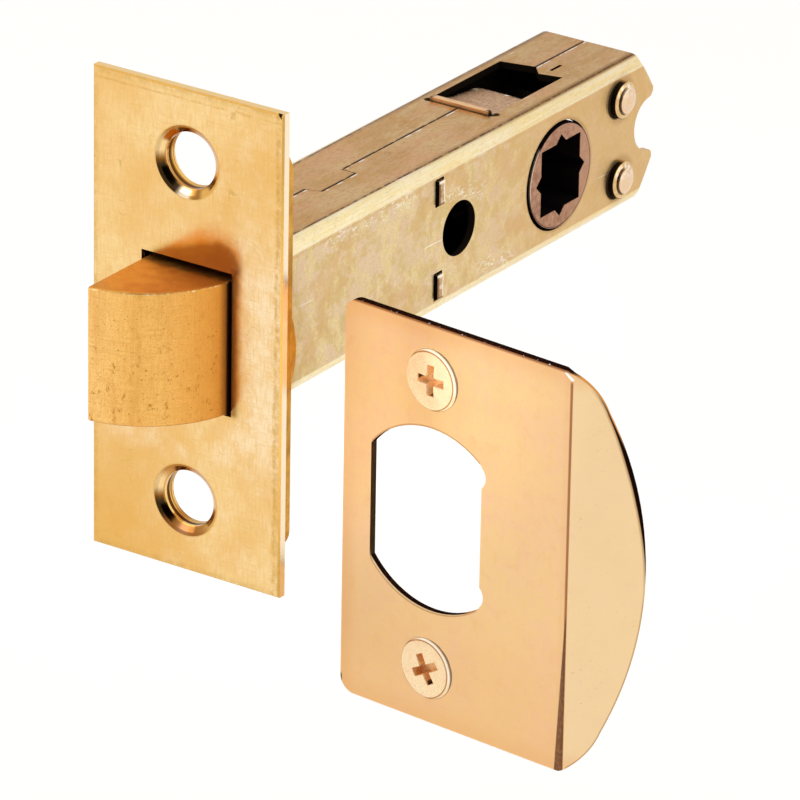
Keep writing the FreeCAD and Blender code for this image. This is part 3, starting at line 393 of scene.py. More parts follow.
def caseSides(coat):
    drift = coat.marks(3.4, 0.44, 0.56, stretch=(1, 0.7, 1), detail=6, rough=0.68, warp=0.4)
    coat.lay(drift, "olive", "lilac")
    coat.paint("straw", coat.marks(2.2, 0.47, 0.58, 0.85, stretch=(1, 1, 0.6), detail=7, rough=0.72))
    coat.paint("olive", coat.marks(0.3, 0.44, 0.58, 0.55, detail=4, rough=0.75))
    coat.paint("lilac", coat.marks(0.7, 0.5, 0.62, 0.55, detail=6, rough=0.78))
    tailward = coat.plus(coat.y, coat.product(coat.noise(7, detail=3), 22))
    coat.paint("tan", coat.ease(tailward, 48, 82, 0, 0.72))
    coat.paint("tan", coat.marks(5.0, 0.52, 0.62, 0.6, detail=6, rough=0.65))
    return coat.tone


def caseTops(coat):
    pink = coat.marks(4, 0.44, 0.58, stretch=(1, 0.4, 1), detail=6, rough=0.65)
    coat.lay(pink, "top", "topPink")
    coat.paint("topGrey", coat.marks(3, 0.48, 0.6, 0.85, stretch=(1, 0.3, 1), detail=7, rough=0.7, warp=0.4))
    coat.paint("umber", coat.marks(0.35, 0.46, 0.64, 0.38, stretch=(1, 0.4, 1), detail=4, rough=0.75))
    coat.paint("lilac", coat.marks(1.1, 0.56, 0.66, 0.35, stretch=(1, 0.3, 1), detail=7, rough=0.78))
    coat.paint("umber", coat.ease(coat.y, 42, 76, 0, 0.16))
    drawn = coat.hairlines(1.6, 0.01, 0.45, stretch=(1, 0.05, 1))
    coat.paint("umber", drawn, coat.marks(4, 0.5, 0.6))
    return coat.tone


def caseFolds(coat, look):
    # a painted highlight on each rounded fold, a tan border under it
    high = coat.size(coat.z)
    crest = coat.minus(coat.size(coat.x), coat.ease(coat.y, *look["crest"]))
    fibre = coat.marks(0.45, 0.36, 0.66, stretch=(1, 0.05, 1), detail=4, rough=0.7)
    grain = coat.marks(0.3, 0.5, 0.7, 0.45, stretch=(1, 0.4, 1), detail=4, rough=0.75)
    bright = coat.blend(grain, coat.blend(fibre, "band", "bandPale"), "olive")
    strength = coat.ease(coat.y, 5, 75, 1.0, 0.72)
    # the painted highlight on the fold
    coat.paint(bright, coat.ease(crest, 0.12, 0.28), coat.ease(high, *look["bandFoot"]), strength, 0.92)
    coat.paint("tan", coat.between(high, *look["underBand"], 0.15), coat.ease(coat.z, -1, 1, 0.2, 1),
               coat.marks(0.7, 0.42, 0.56, 0.8, stretch=(1, 0.25, 1), detail=6, rough=0.75))
    # painted shade: the dark broken line where the fold runs out on top, wider towards the tail
    dotted = coat.marks(0.42, 0.34, 0.56, stretch=(1, 0.45, 1), detail=5, rough=0.75)
    up = coat.ease(high, *look["foldTop"])
    coat.paint("umber", coat.between(crest, -0.5, 0.35, 0.18), up, coat.ease(coat.y, 22, 75, 0.15, 0.85))
    coat.paint("fold", coat.between(crest, -0.15, 0.15, 0.06), up, dotted, 0.95)


def caseMarks(coat, look):
    # white rubs under the upper fold and beside the tabs, scratches, a curl by the window, specks
    rub = coat.marks(0.55, 0.52, 0.6, stretch=(1, 0.5, 1), detail=7, rough=0.8, warp=1.0, turn=(18, 0, 0))
    front, middle, low = (coat.toLine(coat.y, coat.z, *line) for line in look["rubs"])
    near = coat.ease(coat.least(front, coat.least(middle, low)), 0.1, 1.9, 1, 0.06)
    coat.paint("white", rub, near, 0.7)
    scratch = coat.marks(0.42, 0.72, 0.76, 0.6, stretch=(1, 0.04, 1), detail=2, turn=(8, 0, 9))
    coat.paint("white", scratch, coat.ease(coat.distance(coat.y, coat.z, look["hub"]), 7.0, 8.5))
    curl = coat.fall(coat.toLine(coat.x, coat.y, *look["curl"]), 0.05, 0.14)
    coat.paint("white", curl, coat.ease(coat.z, *look["onTop"]), coat.marks(1.2, 0.4, 0.55))
    coat.paint("fold", coat.marks(0.3, 0.72, 0.78, 0.8, detail=4, rough=0.7))


def caseSeam(coat, look):
    # the seam painted dark along its gap, and a painted highlight on the edge beside it
    out = coat.between(coat.y, look["waveStart"], look["runEnd"], 0.05)
    ramp = coat.ease(coat.y, look["waveStart"], look["waveEnd"])
    off = coat.minus(coat.x, coat.plus(look["seam"], coat.product(out, ramp, look["seamStep"])))
    onTop = coat.ease(coat.z, *look["onTop"])
    # a painted highlight beside the seam
    coat.paint("white", coat.between(off, 0.16, 0.34, 0.05), coat.marks(1.6, 0.5, 0.58, 0.75), onTop)
    coat.paint("fold", coat.between(off, -0.22, 0.13, 0.05), coat.marks(1.6, 0.34, 0.44, 0.92), onTop)


def caseDark(coat, look):
    # painted shade: the tube's inside and the cut walls of its openings near black, and the shade beside what
    # stands out of it; a brown ring round the rivets and the hub
    wide, high = coat.size(coat.x), coat.size(coat.z)
    innerWide, innerHigh = look["halfWidth"] - look["sheet"], look["halfHeight"] - look["sheet"]
    tube = coat.product(coat.fall(wide, innerWide + 0.01, innerWide + 0.05),
                        coat.fall(high, innerHigh + 0.01, innerHigh + 0.05))
    upright = coat.fall(coat.size(coat.facing((0, 0, 1))), 0.3, 0.5)
    cutTop = coat.product(upright, coat.between(high, innerHigh, look["topSkin"], 0.02),
                          coat.fall(wide, *look["topCuts"]), coat.fall(coat.y, *look["topCutsEnd"]))
    sideways = coat.fall(coat.size(coat.facing((1, 0, 0))), 0.3, 0.5)
    cutSide = coat.product(sideways, coat.between(wide, innerWide, look["sideSkin"], 0.01),
                           coat.fall(high, *look["sideCuts"]), coat.fall(coat.y, *look["sideCutsEnd"]))
    dark = coat.most(tube, coat.most(cutTop, cutSide))
    beside = coat.distance(coat.y, high, look["rivetShade"])
    dark = coat.most(dark, coat.ease(beside, 2.15, 2.45, 0.96, 0))
    # painted shade round the retractor bar's ends
    for start, end in look["recesses"]:
        recess = coat.ease(coat.toLine(coat.x, coat.y, start, end), 0.42, 0.66, 0.95, 0)
        dark = coat.most(dark, coat.product(recess, coat.ease(coat.z, 7.0, 8.0)))
    brown = coat.ease(coat.distance(coat.y, high, look["rivets"]), 2.4, 3.5, 0.45, 0)
    hub = coat.ease(coat.distance(coat.y, coat.z, look["hub"]), 6.6, 7.1, 0.5, 0)
    coat.paint("umber", coat.most(brown, hub))
    coat.paint("inside", dark)
    return dark


def caseCoat(look):
    coat = Coat("yellowChromateCase", look)
    onTop = coat.ease(coat.size(coat.z), look["halfHeight"] - 0.1, look["halfHeight"] - 0.02)
    coat.lay(onTop, caseSides(coat), caseTops(coat))
    caseFolds(coat, look)
    caseMarks(coat, look)
    caseSeam(coat, look)
    dark = caseDark(coat, look)
    coat.bump(coat.noise(0.3, stretch=(1, 0.4, 1), detail=4, rough=0.7), 0.2, 0.025)
    coat.bump(coat.noise(6, detail=3), 0.08, 0.1)
    rough = coat.spread(coat.noise(2.2, detail=4), 0.26, 0.42)
    return coat.done(coat.plus(rough, coat.product(dark, 0.5)), dark=dark)


dress(caseCoat(caseLook), "latch_case")

# spring stop: its tab ends pale, lighter at their top and back edges as a painted highlight, darker along the
# front edge and below as painted shade; their front sides painted dark as shade
stopLook = {
    "tone": (0.5, 0.29, 0.12), "pale": (1.0, 0.9, 0.72), "dark": (0.015, 0.009, 0.005),
    "umber": (0.2, 0.1, 0.03), "level": 5.72, "halfHeight": 1.45, "front": 38.1,
}


def stopCoat(look):
    coat = Coat("yellowChromateStop", look)
    coat.lay(coat.marks(0.6, 0.44, 0.66, 0.6, detail=5, rough=0.7), "tone", "pale")
    up = coat.product(coat.minus(coat.size(coat.z), look["level"]), coat.calc("SIGN", coat.z))
    # a painted highlight along the tabs' top edges
    coat.paint("pale", coat.ease(up, look["halfHeight"] - 0.5, look["halfHeight"] - 0.2, 0, 0.9))
    edge = coat.ease(coat.y, look["front"] + 0.2, look["front"] + 0.5, 0.95, 0)
    coat.paint("umber", edge, coat.fall(up, 1.0, 1.3))
    coat.paint("pale", coat.ease(coat.y, look["front"] + 0.9, look["front"] + 1.05, 0, 0.8))
    coat.paint("umber", coat.ease(up, -1.4, -1.15, 0.9, 0))
    # painted shade on the front sides
    frontSide = coat.ease(coat.facing((0, -1, 0)), 0.5, 0.7)
    coat.paint("dark", frontSide)
    fine = coat.noise(0.2, detail=4, rough=0.7)
    coat.bump(fine, 0.3, 0.03)
    return coat.done(coat.plus(coat.spread(fine, 0.22, 0.36), coat.product(frontSide, 0.4)))


dress(stopCoat(stopLook), "spring_stop")
print("case and spring stop dressed")

# bolt: milled brass, pitted on the cam face, darker brown on top, with painted shade at its right end,
# towards the back of its top and black inside the hole
boltLook = {
    "left": (0.98, 0.62, 0.22), "middle": (0.97, 0.56, 0.16), "right": (0.84, 0.38, 0.07),
    "streak": (0.72, 0.34, 0.065), "pit": (0.3, 0.085, 0.008), "smudge": (0.5, 0.2, 0.03),
    "bright": (1.0, 0.8, 0.46), "top": (0.46, 0.165, 0.028), "topLight": (0.62, 0.3, 0.06),
    "topDark": (0.17, 0.05, 0.012), "black": (0.012, 0.004, 0.003),
    "crown": 7.75, "drop": 0.2, "sideShade": (5.45, 5.78), "sideBlack": (5.72, 5.82), "hole": (1.0, 1.3),
}


def boltFace(coat, look):
    coat.lay(coat.ease(coat.x, -5.0, 0.0), "left", "middle")
    coat.paint("right", coat.ease(coat.x, 1.5, 5.6))
    upright = coat.marks(0.2, 0.42, 0.72, 0.45, stretch=(1, 1, 0.09), rough=0.65)
    level = coat.marks(0.2, 0.42, 0.72, 0.42, stretch=(0.09, 0.09, 1), rough=0.65)
    coat.paint("streak", coat.most(upright, level))
    coat.paint("streak", coat.marks(1.3, 0.46, 0.7, 0.3, stretch=(1, 1, 0.12)))
    coat.paint("streak", coat.marks(0.16, 0.5, 0.64, 0.4, detail=2))
    # dark pits and short scores in loose flocks
    flock = coat.marks(2.6, 0.42, 0.54, detail=3, rough=0.6)
    small = coat.marks(0.19, 0.62, 0.7, stretch=(1, 1, 0.8), detail=3, rough=0.7)
    scores = coat.marks(0.62, 0.655, 0.7, 0.95, stretch=(0.55, 0.55, 1), detail=5, rough=0.7)
    pits = coat.most(coat.product(small, flock), scores)
    smudge = coat.marks(1.3, 0.56, 0.64, 0.62, stretch=(1, 1, 0.8), detail=7, rough=0.75)
    grain = coat.marks(0.2, 0.4, 0.56, stretch=(1, 1, 0.3))
    coat.paint("smudge", smudge, grain, coat.ease(coat.z, 4, -4, 0.4, 1.5))
    coat.paint("pit", pits, 0.88)
    # painted shade along the right end, where the bolt meets the hole
    coat.paint("topDark", coat.ease(coat.x, *look["sideShade"], 0, 0.7))
    coat.paint("black", coat.ease(coat.x, *look["sideBlack"]))
    return pits


def boltTop(coat):
    drift = coat.plus(coat.x, coat.spread(coat.noise(1.6, detail=5, rough=0.6), 2.5, -2.5))
    coat.lay(coat.ease(drift, -4.0, 2.0), "topLight", "top")
    grain = coat.marks(0.18, 0.44, 0.62, 0.5, stretch=(1, 0.5, 1), detail=4, rough=0.75, turn=(0, 0, 24))
    coat.paint("smudge", grain)
    # painted shade towards the back of the top
    shade = coat.plus(coat.y, coat.product(coat.noise(1.6, detail=6, rough=0.7), 5.0))
    coat.paint("topDark", coat.ease(shade, 0.6, 4.2, 0, 0.5), coat.ease(coat.x, -5.5, -1.5, 0.35, 1))
    coat.paint("bright", coat.marks(0.2, 0.73, 0.78, 0.9, stretch=(0.1, 1, 1), detail=2, turn=(0, 0, -14)))
    return coat.tone


def boltCoat(look):
    coat = Coat("milledBoltBrass", look)
    pits = boltFace(coat, look)
    crown = coat.size(coat.plus(coat.z, look["drop"]))
    onTop = coat.ease(crown, look["crown"] - 0.02, look["crown"] + 0.15)
    coat.lay(onTop, coat.tone, boltTop(coat))
    # painted glints along the top's front edge
    frontEdge = coat.between(coat.z, look["crown"] - 0.28, look["crown"] - 0.12, 0.05)
    coat.paint("bright", frontEdge, coat.marks(0.45, 0.5, 0.62, 0.8))
    # painted shade: black where the bolt runs into the hole
    deep = coat.ease(coat.y, *look["hole"])
    coat.paint("black", deep)
    coat.bump(coat.noise(0.2, stretch=(0.12, 0.12, 1), rough=0.65), 0.22, 0.02)
    coat.bump(coat.minus(1.0, pits), 0.2, 0.03)
    return coat.done(coat.spread(coat.noise(0.8, detail=4), 0.4, 0.54), dark=deep)


dress(boltCoat(boltLook), "latch_bolt")
print("bolt dressed")

# hub: die-cast, copper tinted, its socket painted black as shade
hubLook = {
    "tone": (0.33, 0.155, 0.085), "pale": (0.52, 0.285, 0.175), "dark": (0.05, 0.022, 0.012),
    "black": (0.006, 0.004, 0.004), "rim": (0.95, 0.8, 0.66), "centre": (0, 63.5, -0.25), "face": 7.45,
    "radius": 6.36, "shadeRing": (6.2, 6.3), "litRing": (6.2, 6.27), "upperRing": (6.14, 6.2),
    "caseSide": (7.22, 7.26),
}


def hubCoat(look):
    coat = Coat("copperTintedHub", look, place=look["centre"])
    coat.lay(coat.marks(0.8, 0.36, 0.66, detail=6, rough=0.7), "tone", "pale")
    coat.paint("pale", coat.ease(coat.y, 0, 5, 0, 0.65))
    coat.paint("dark", coat.marks(0.3, 0.56, 0.7, 0.55, detail=5, rough=0.75))
    coat.paint("dark", coat.marks(1.5, 0.6, 0.72, 0.35, detail=6, rough=0.7))
    # painted light and shade: a dark ring inside the rim, a painted highlight on the rim at the front,
    # painted shade above
    radius = coat.length(coat.y, coat.z)
    coat.paint("dark", coat.between(radius, *look["shadeRing"], 0.05))
    coat.paint("rim", coat.ease(radius, *look["litRing"]), coat.ease(coat.y, -2.0, -3.2),
               coat.ease(coat.z, -4.0, 0.5), coat.ease(coat.z, 4.8, 4.0), 0.85)
    upper = coat.product(coat.ease(radius, *look["upperRing"]), coat.ease(coat.z, 3.8, 4.8))
    coat.paint("black", upper)
    deep = coat.fall(coat.size(coat.x), look["face"] - 0.1, look["face"] - 0.02)
    socket = coat.product(deep, coat.fall(radius, look["radius"] - 0.1, look["radius"] - 0.02))
    coat.paint("black", socket)
    # painted shade: black on the hub within the case's sides
    coat.paint("black", coat.ease(coat.size(coat.x), *look["caseSide"], 0.9, 0))
    fine = coat.noise(0.22, detail=5, rough=0.7)
    coat.bump(fine, 0.35, 0.04)
    return coat.done(coat.plus(coat.spread(fine, 0.34, 0.5), coat.product(socket, 0.45)),
                     dark=coat.most(socket, upper))


dress(hubCoat(hubLook), "hub")

# tail rivets: stepped heads, golden on the step and pale on the button; a painted highlight on the button,
# painted shade round its front edge, on the side towards the front and on the shanks inside the case
rivetLook = {
    "tone": (0.66, 0.42, 0.18), "step": (0.82, 0.56, 0.27), "button": (0.82, 0.6, 0.42),
    "dark": (0.02, 0.011, 0.006), "white": (1.0, 0.95, 0.85), "along": 76.45, "level": 5.0, "head": 2.25,
    "buttonRadius": 1.55, "buttonFace": (7.9, 8.1), "caseSide": 7.25,
}


def rivetCoat(look):
    coat = Coat("platedRivetSteel", look)
    level = coat.fromLevel(look["level"])
    along = coat.minus(coat.y, look["along"])
    radius = coat.length(along, level)
    coat.lay(coat.marks(0.9, 0.36, 0.66, detail=5), "tone", "step")
    edge = look["buttonRadius"]
    button = coat.blend(coat.marks(0.6, 0.4, 0.66, 0.6, detail=4), "button", "step")
    coat.paint(button, coat.fall(radius, edge - 0.04, edge + 0.04))
    # a painted highlight on the button
    coat.paint("white", coat.ease(level, 0.2, 1.6), coat.marks(0.5, 0.45, 0.6),
               coat.ease(coat.size(coat.x), *look["buttonFace"]), 0.8)
    # painted shade round the button's front edge
    coat.paint("dark", coat.between(radius, edge - 0.02, edge + 0.2, 0.06), coat.ease(along, 0.1, -0.6), 0.85)
    # painted shade on the head's side towards the front and on the shanks inside the case
    side = coat.product(coat.ease(radius, look["head"] - 0.1, look["head"] - 0.02),
                        coat.ease(along, 0.6, -0.4))
    within = coat.fall(coat.size(coat.x), look["caseSide"] - 0.3, look["caseSide"] - 0.1)
    side = coat.most(side, within)
    coat.paint("dark", side)
    fine = coat.noise(0.3, detail=4, rough=0.65)
    coat.bump(fine, 0.35, 0.05)
    return coat.done(coat.plus(coat.spread(fine, 0.22, 0.36), coat.product(side, 0.4)))


dress(rivetCoat(rivetLook), "tail_rivets")
print("hub and rivets dressed")

# retractor: stamped slide, grey-brown in the window, with a golden rubbed bar, painted glints and painted
# shade
slideLook = {
    "plate": (0.5, 0.28, 0.145), "plateGrey": (0.8, 0.53, 0.34), "bar": (0.64, 0.34, 0.145),
    "barBright": (0.86, 0.55, 0.29), "dark": (0.03, 0.014, 0.008), "white": (1.0, 0.92, 0.75),
    "barBack": 55.0, "crown": 9.13, "middle": -0.65, "half": 4.0, "end": 64.0,
    "glints": ((-4.3, 63.2), (-0.4, 63.9)), "floor": (7.0, 7.3), "barEnds": (3.35, 3.8),
}


def slideCoat(look):
    coat = Coat("stampedSlideSteel", look)
    coat.lay(coat.marks(0.4, 0.38, 0.64, detail=6, rough=0.8), "plate", "plateGrey")
    coat.paint("dark", coat.marks(0.16, 0.55, 0.7, 0.5, detail=3, rough=0.8))
    across = coat.size(coat.minus(coat.x, look["middle"]))
    border = coat.ease(across, look["half"] - 0.45, look["half"] - 0.15, 0, 0.9)
    coat.paint("dark", border, coat.marks(0.6, 0.3, 0.5))
    far = coat.ease(coat.y, look["end"] - 0.5, look["end"] - 0.1)
    coat.paint("dark", far, coat.marks(0.6, 0.4, 0.55, 0.9))
    # painted glints near the plate's far end
    for glint in look["glints"]:
        coat.paint("white", coat.fall(coat.distance(coat.x, coat.y, glint), 0.2, 0.42))
    barTone = coat.blend(coat.marks(0.6, 0.42, 0.7, stretch=(0.3, 1, 1), detail=5), "barBright", "bar")
    # painted shade at the bar's ends
    ends = coat.product(coat.ease(across, *look["barEnds"], 0, 0.95), coat.marks(0.4, 0.36, 0.56))
    barTone = coat.blend(ends, barTone, "dark")
    coat.paint(barTone, coat.ease(coat.z, look["crown"] - 0.35, look["crown"] - 0.1))
    # painted shade on the faces towards the front
    coat.paint("plate", coat.ease(coat.facing((0, -1, 0)), 0.6, 0.8), 0.7)
    # painted shade just behind the bar
    coat.paint("dark", coat.ease(coat.y, look["barBack"] - 0.05, look["barBack"] + 0.02),
               coat.fall(coat.y, look["barBack"] + 0.12, look["barBack"] + 0.5), 0.85)
    # painted shade: dark on all that lies below the case top
    coat.paint("dark", coat.ease(coat.z, *look["floor"], 0.95, 0))
    fine = coat.noise(0.25, detail=6, rough=0.75)
    coat.bump(fine, 0.5, 0.06)
    return coat.done(coat.spread(fine, 0.34, 0.5))


dress(slideCoat(slideLook), "retractor")
print("retractor dressed")

# inner steel, turned or drawn bright
innerLooks = {
    "bolt_shank": {"coat": "turnedShankSteel", "tone": (0.56, 0.53, 0.48), "mark": (0.34, 0.3, 0.25)},
    "shank_washer": {"coat": "stampedWasherSteel", "tone": (0.6, 0.56, 0.48), "mark": (0.36, 0.31, 0.24)},
    "bolt_pin": {"coat": "drawnPinSteel", "tone": (0.62, 0.6, 0.56), "mark": (0.42, 0.38, 0.32)},
}


def innerCoat(look):
    coat = Coat(look["coat"], look)
    rings = coat.noise(0.35, stretch=(0.3, 1, 0.3), detail=3)
    coat.lay(coat.ease(rings, 0.35, 0.68), "tone", "mark")
    coat.paint("mark", coat.marks(1.4, 0.58, 0.72, 0.5, detail=5))
    coat.bump(rings, 0.2, 0.02)
    return coat.done(coat.spread(coat.noise(0.6, detail=4), 0.26, 0.42))


for innerName, innerLook in innerLooks.items():
    dress(innerCoat(innerLook), innerName)

# strike: bright peach-coloured brass with sheared edges and a crease; its edges, the crease and the lip's
# border painted dark as shade, with painted glints
strikeLook = {
    "light": (0.9, 0.595, 0.265), "pink": (0.9, 0.56, 0.3), "deep": (0.82, 0.43, 0.155),
    "lip": (0.95, 0.73, 0.42), "copper": (0.62, 0.27, 0.07), "wedge": (0.15, 0.05, 0.012),
    "freckle": (0.66, 0.34, 0.12), "black": (0.01, 0.003, 0.002), "sheared": (0.06, 0.02, 0.006),
    "warm": (0.46, 0.2, 0.05), "line": (0.3, 0.09, 0.02), "white": (1.0, 0.99, 0.95),
    "place": (11.53, 14.0, -21.43), "turn": -5.3, "halfHeight": 24.0, "crease": 31.7, "lipAngle": 39.0,
    "lipReach": 8.6, "lipCurve": 43.2, "lipCorner": 19.0, "cornerRadius": 9.0, "cornerCentre": (-4.23, 15.86),
    "mouthMiddle": (12.6, 0.65), "mouthRadius": 11.05, "mouthWall": (11.3, 11.4), "mouthSide": (19.8, 20.6),
    "creaseTop": (22.5, 23.1), "creaseGlint": ((30.9, 23.7), (31.7, 23.1)),
    "wedgeSlope": -0.052, "wedgeStart": 4.0, "copperTop": (14.5, 17.5), "mouthRim": (4.0, 19.3),
    "foot": (-23.4, -22.0),
}


def strikeBody(coat, look):
    coat.lay(coat.marks(9, 0.4, 0.6, detail=3), "light", "pink")
    coat.paint("light", coat.marks(1.3, 0.45, 0.57, 0.75, detail=6, rough=0.72))
    coat.paint("pink", coat.marks(0.6, 0.47, 0.6, 0.75, detail=5, rough=0.75))
    coat.paint("deep", coat.marks(2.2, 0.5, 0.66, 0.24, detail=7, rough=0.75))
    onLip = coat.product(coat.ease(coat.x, look["crease"] - 0.2, look["crease"] + 0.3), 0.62)
    coat.paint("lip", onLip)
    coat.paint("deep", coat.ease(coat.z, -4, -20, 0, 0.3), coat.fall(onLip, 0, 0.5))
    inset = coat.minus(look["halfHeight"], coat.size(coat.z))
    coat.paint("deep", coat.ease(inset, 0.3, 3.0, 0.45, 0.0))
    coat.paint("deep", coat.ease(coat.x, 0.2, 2.6, 0.6, 0), coat.ease(coat.z, 8, -8, 0.3, 1))
    coat.paint("freckle", coat.marks(0.34, 0.62, 0.68, detail=4, rough=0.7), coat.marks(5, 0.44, 0.6, 0.5))


def strikeCrease(coat, look):
    # painted shade along the crease: a thin line that opens into a flecked wedge towards the bottom, with a
    # painted glint at its top
    off = coat.minus(coat.x, look["crease"])
    thin = coat.ease(coat.size(coat.plus(off, 0.05)), 0.09, 0.2, 0.92, 0.0)
    coat.paint("line", thin, coat.fall(coat.z, *look["creaseTop"]))
    coat.paint("deep", coat.between(off, -0.9, -0.1, 0.35), 0.22)
    opening = coat.product(coat.plus(coat.z, look["wedgeStart"]), look["wedgeSlope"])
    fleck = coat.marks(0.32, 0.48, 0.66, 0.5, stretch=(1, 1, 0.5), detail=4, rough=0.7)
    coat.paint(coat.blend(fleck, "wedge", "warm"), coat.ease(coat.plus(off, opening), -0.06, 0.06),
               coat.fall(off, 0.0, 0.1), coat.fall(coat.z, -6.0, -4.5), 0.95)
    coat.paint("white", coat.fall(coat.toLine(coat.x, coat.z, *look["creaseGlint"]), 0.12, 0.24))


def lipInset(coat, look, along):
    # how far a place on the lip lies inside its curved edge
    high = coat.size(coat.z)
    curveCentre = (look["lipReach"] - look["lipCurve"], 0)
    main = coat.minus(look["lipCurve"], coat.distance(along, coat.z, curveCentre))
    corner = coat.minus(look["cornerRadius"], coat.distance(along, high, look["cornerCentre"]))
    share = coat.ease(high, look["lipCorner"] - 0.1, look["lipCorner"] + 0.1)
    return coat.plus(coat.product(share, corner), coat.product(coat.minus(1.0, share), main))


def lipBorder(coat, look):
    # painted shade along the lip's curved edge: a black border on its upper part, thinner towards its ends,
    # and a brown one below
    angle = math.radians(look["lipAngle"])
    along = coat.plus(coat.product(coat.minus(coat.x, look["crease"]), math.cos(angle)),
                      coat.product(coat.y, math.sin(angle)))
    inset = lipInset(coat, look, along)
    onLip = coat.ease(along, 0.2, 0.6)
    fading = coat.plus(inset, coat.ease(coat.z, 10, -4, 0, 0.5))
    fading = coat.plus(fading, coat.ease(coat.z, 12, 21, 0, 0.34))
    reach = coat.product(onLip, coat.ease(coat.z, -5, 1), coat.fall(coat.z, 20, 22.5))
    coat.paint("warm", coat.between(fading, 0.4, 0.64, 0.12), reach, 0.6)
    band = coat.product(coat.fall(fading, 0.38, 0.52), reach)
    coat.paint("black", band)
    coat.paint("warm", coat.ease(inset, 0.1, 0.22, 0.7, 0), onLip, coat.ease(coat.z, -1, -4))
    return band


def strikeEdges(coat, look):
    # sheared edges, seen where the surface faces neither front nor back, painted dark as shade, with painted
    # highlights on the mouth's lower rim and along the top
    flat = None
    for degrees in (look["turn"], look["turn"] + look["lipAngle"]):
        turn = math.radians(degrees)
        facing = coat.size(coat.facing((math.sin(turn), -math.cos(turn), 0.0)))
        flat = coat.most(flat, facing) if flat else facing
    edge = coat.fall(flat, 0.62, 0.72)
    grain = coat.marks(0.3, 0.46, 0.72, 0.7, stretch=(1, 1, 0.25), detail=4, rough=0.7)
    edgeTone = coat.blend(grain, "black", "sheared")
    fromMiddle = coat.distance(coat.x, coat.z, look["mouthMiddle"])
    mouth = coat.product(coat.fall(fromMiddle, *look["mouthWall"]), coat.fall(coat.x, *look["mouthSide"]))
    layers = (
        (coat.product(mouth, coat.ease(coat.z, -5.5, -7.0), coat.fall(coat.y, 0.16, 0.26), 0.8), "lip"),
        (coat.product(mouth, coat.ease(coat.x, 17.0, 18.0), 0.9), "warm"),
        (coat.product(coat.ease(coat.x, look["crease"] - 0.3, look["crease"] + 0.6),
                      coat.ease(coat.z, *look["copperTop"])), "copper"),
        (coat.product(coat.marks(0.6, 0.62, 0.7), coat.fall(coat.y, 0.12, 0.25), coat.ease(coat.z, 22, 23)),
         "white"),
    )
    for factor, colour in layers:
        edgeTone = coat.blend(factor, edgeTone, colour)
    coat.paint(edgeTone, edge)
    # painted shade: a thin brown line along the top border and round the mouth
    top = coat.minus(look["halfHeight"], coat.z)
    coat.paint("line", coat.ease(top, 0.1, 0.38, 0.9, 0), coat.fall(edge, 0.2, 0.5))
    rim = coat.between(fromMiddle, look["mouthRadius"] - 0.05, look["mouthRadius"] + 0.17, 0.05)
    coat.paint("warm", rim, coat.between(coat.x, *look["mouthRim"], 0.1), coat.ease(edge, 0.2, 0.5, 0.65, 0))
    foot = coat.product(coat.ease(coat.x, 0.12, 0.3, 0.9, 0), coat.between(coat.z, *look["foot"], 0.3))
    coat.paint("black", foot)
    return coat.most(edge, foot)


def strikeCoat(look):
    coat = Coat("peachStrikeBrass", look, place=look["place"], turn=look["turn"])
    strikeBody(coat, look)
    strikeCrease(coat, look)
    band = lipBorder(coat, look)
    edge = strikeEdges(coat, look)
    coat.bump(coat.noise(0.35, detail=4, rough=0.6), 0.1, 0.02)
    rough = coat.spread(coat.noise(3, detail=4), 0.3, 0.42)
    # less of a mirror towards the upper left, so that the fill light counts there
    corner = coat.product(coat.ease(coat.x, 14, 3), coat.ease(coat.z, -18, 0))
    metal = coat.product(coat.spread(coat.noise(6, detail=2), 0.42, 0.52), coat.ease(corner, 0, 1, 1, 0.15))
    return coat.done(coat.plus(rough, coat.product(edge, 0.3)), metal, coat.most(band, edge))


dress(strikeCoat(strikeLook), "strike_plate")

# strike screws: pink-gold crowns, golden recesses with painted shade at two arms' ends, rims in painted shade
# at the upper right with a painted highlight inside, cut threads behind with painted shade in their grooves
screwLook = {
    "tone": (1.0, 0.76, 0.45), "deep": (0.98, 0.62, 0.36), "recess": (0.95, 0.55, 0.2),
    "dark": (0.05, 0.02, 0.006), "amber": (0.45, 0.17, 0.03), "white": (1.0, 0.97, 0.9),
    "across": 12.4, "level": 17.475, "shadeCentre": (-0.42, -0.22), "amberRing": (3.36, 3.5),
    "whiteRing": (3.56, 3.7), "shadeRing": (3.76, 3.9), "recessReach": (2.6, 2.7),
    "spots": ((-1.75, 0.2), (0.1, -1.9)), "pitch": 1.3, "threadStart": (2.0, 2.4),
}


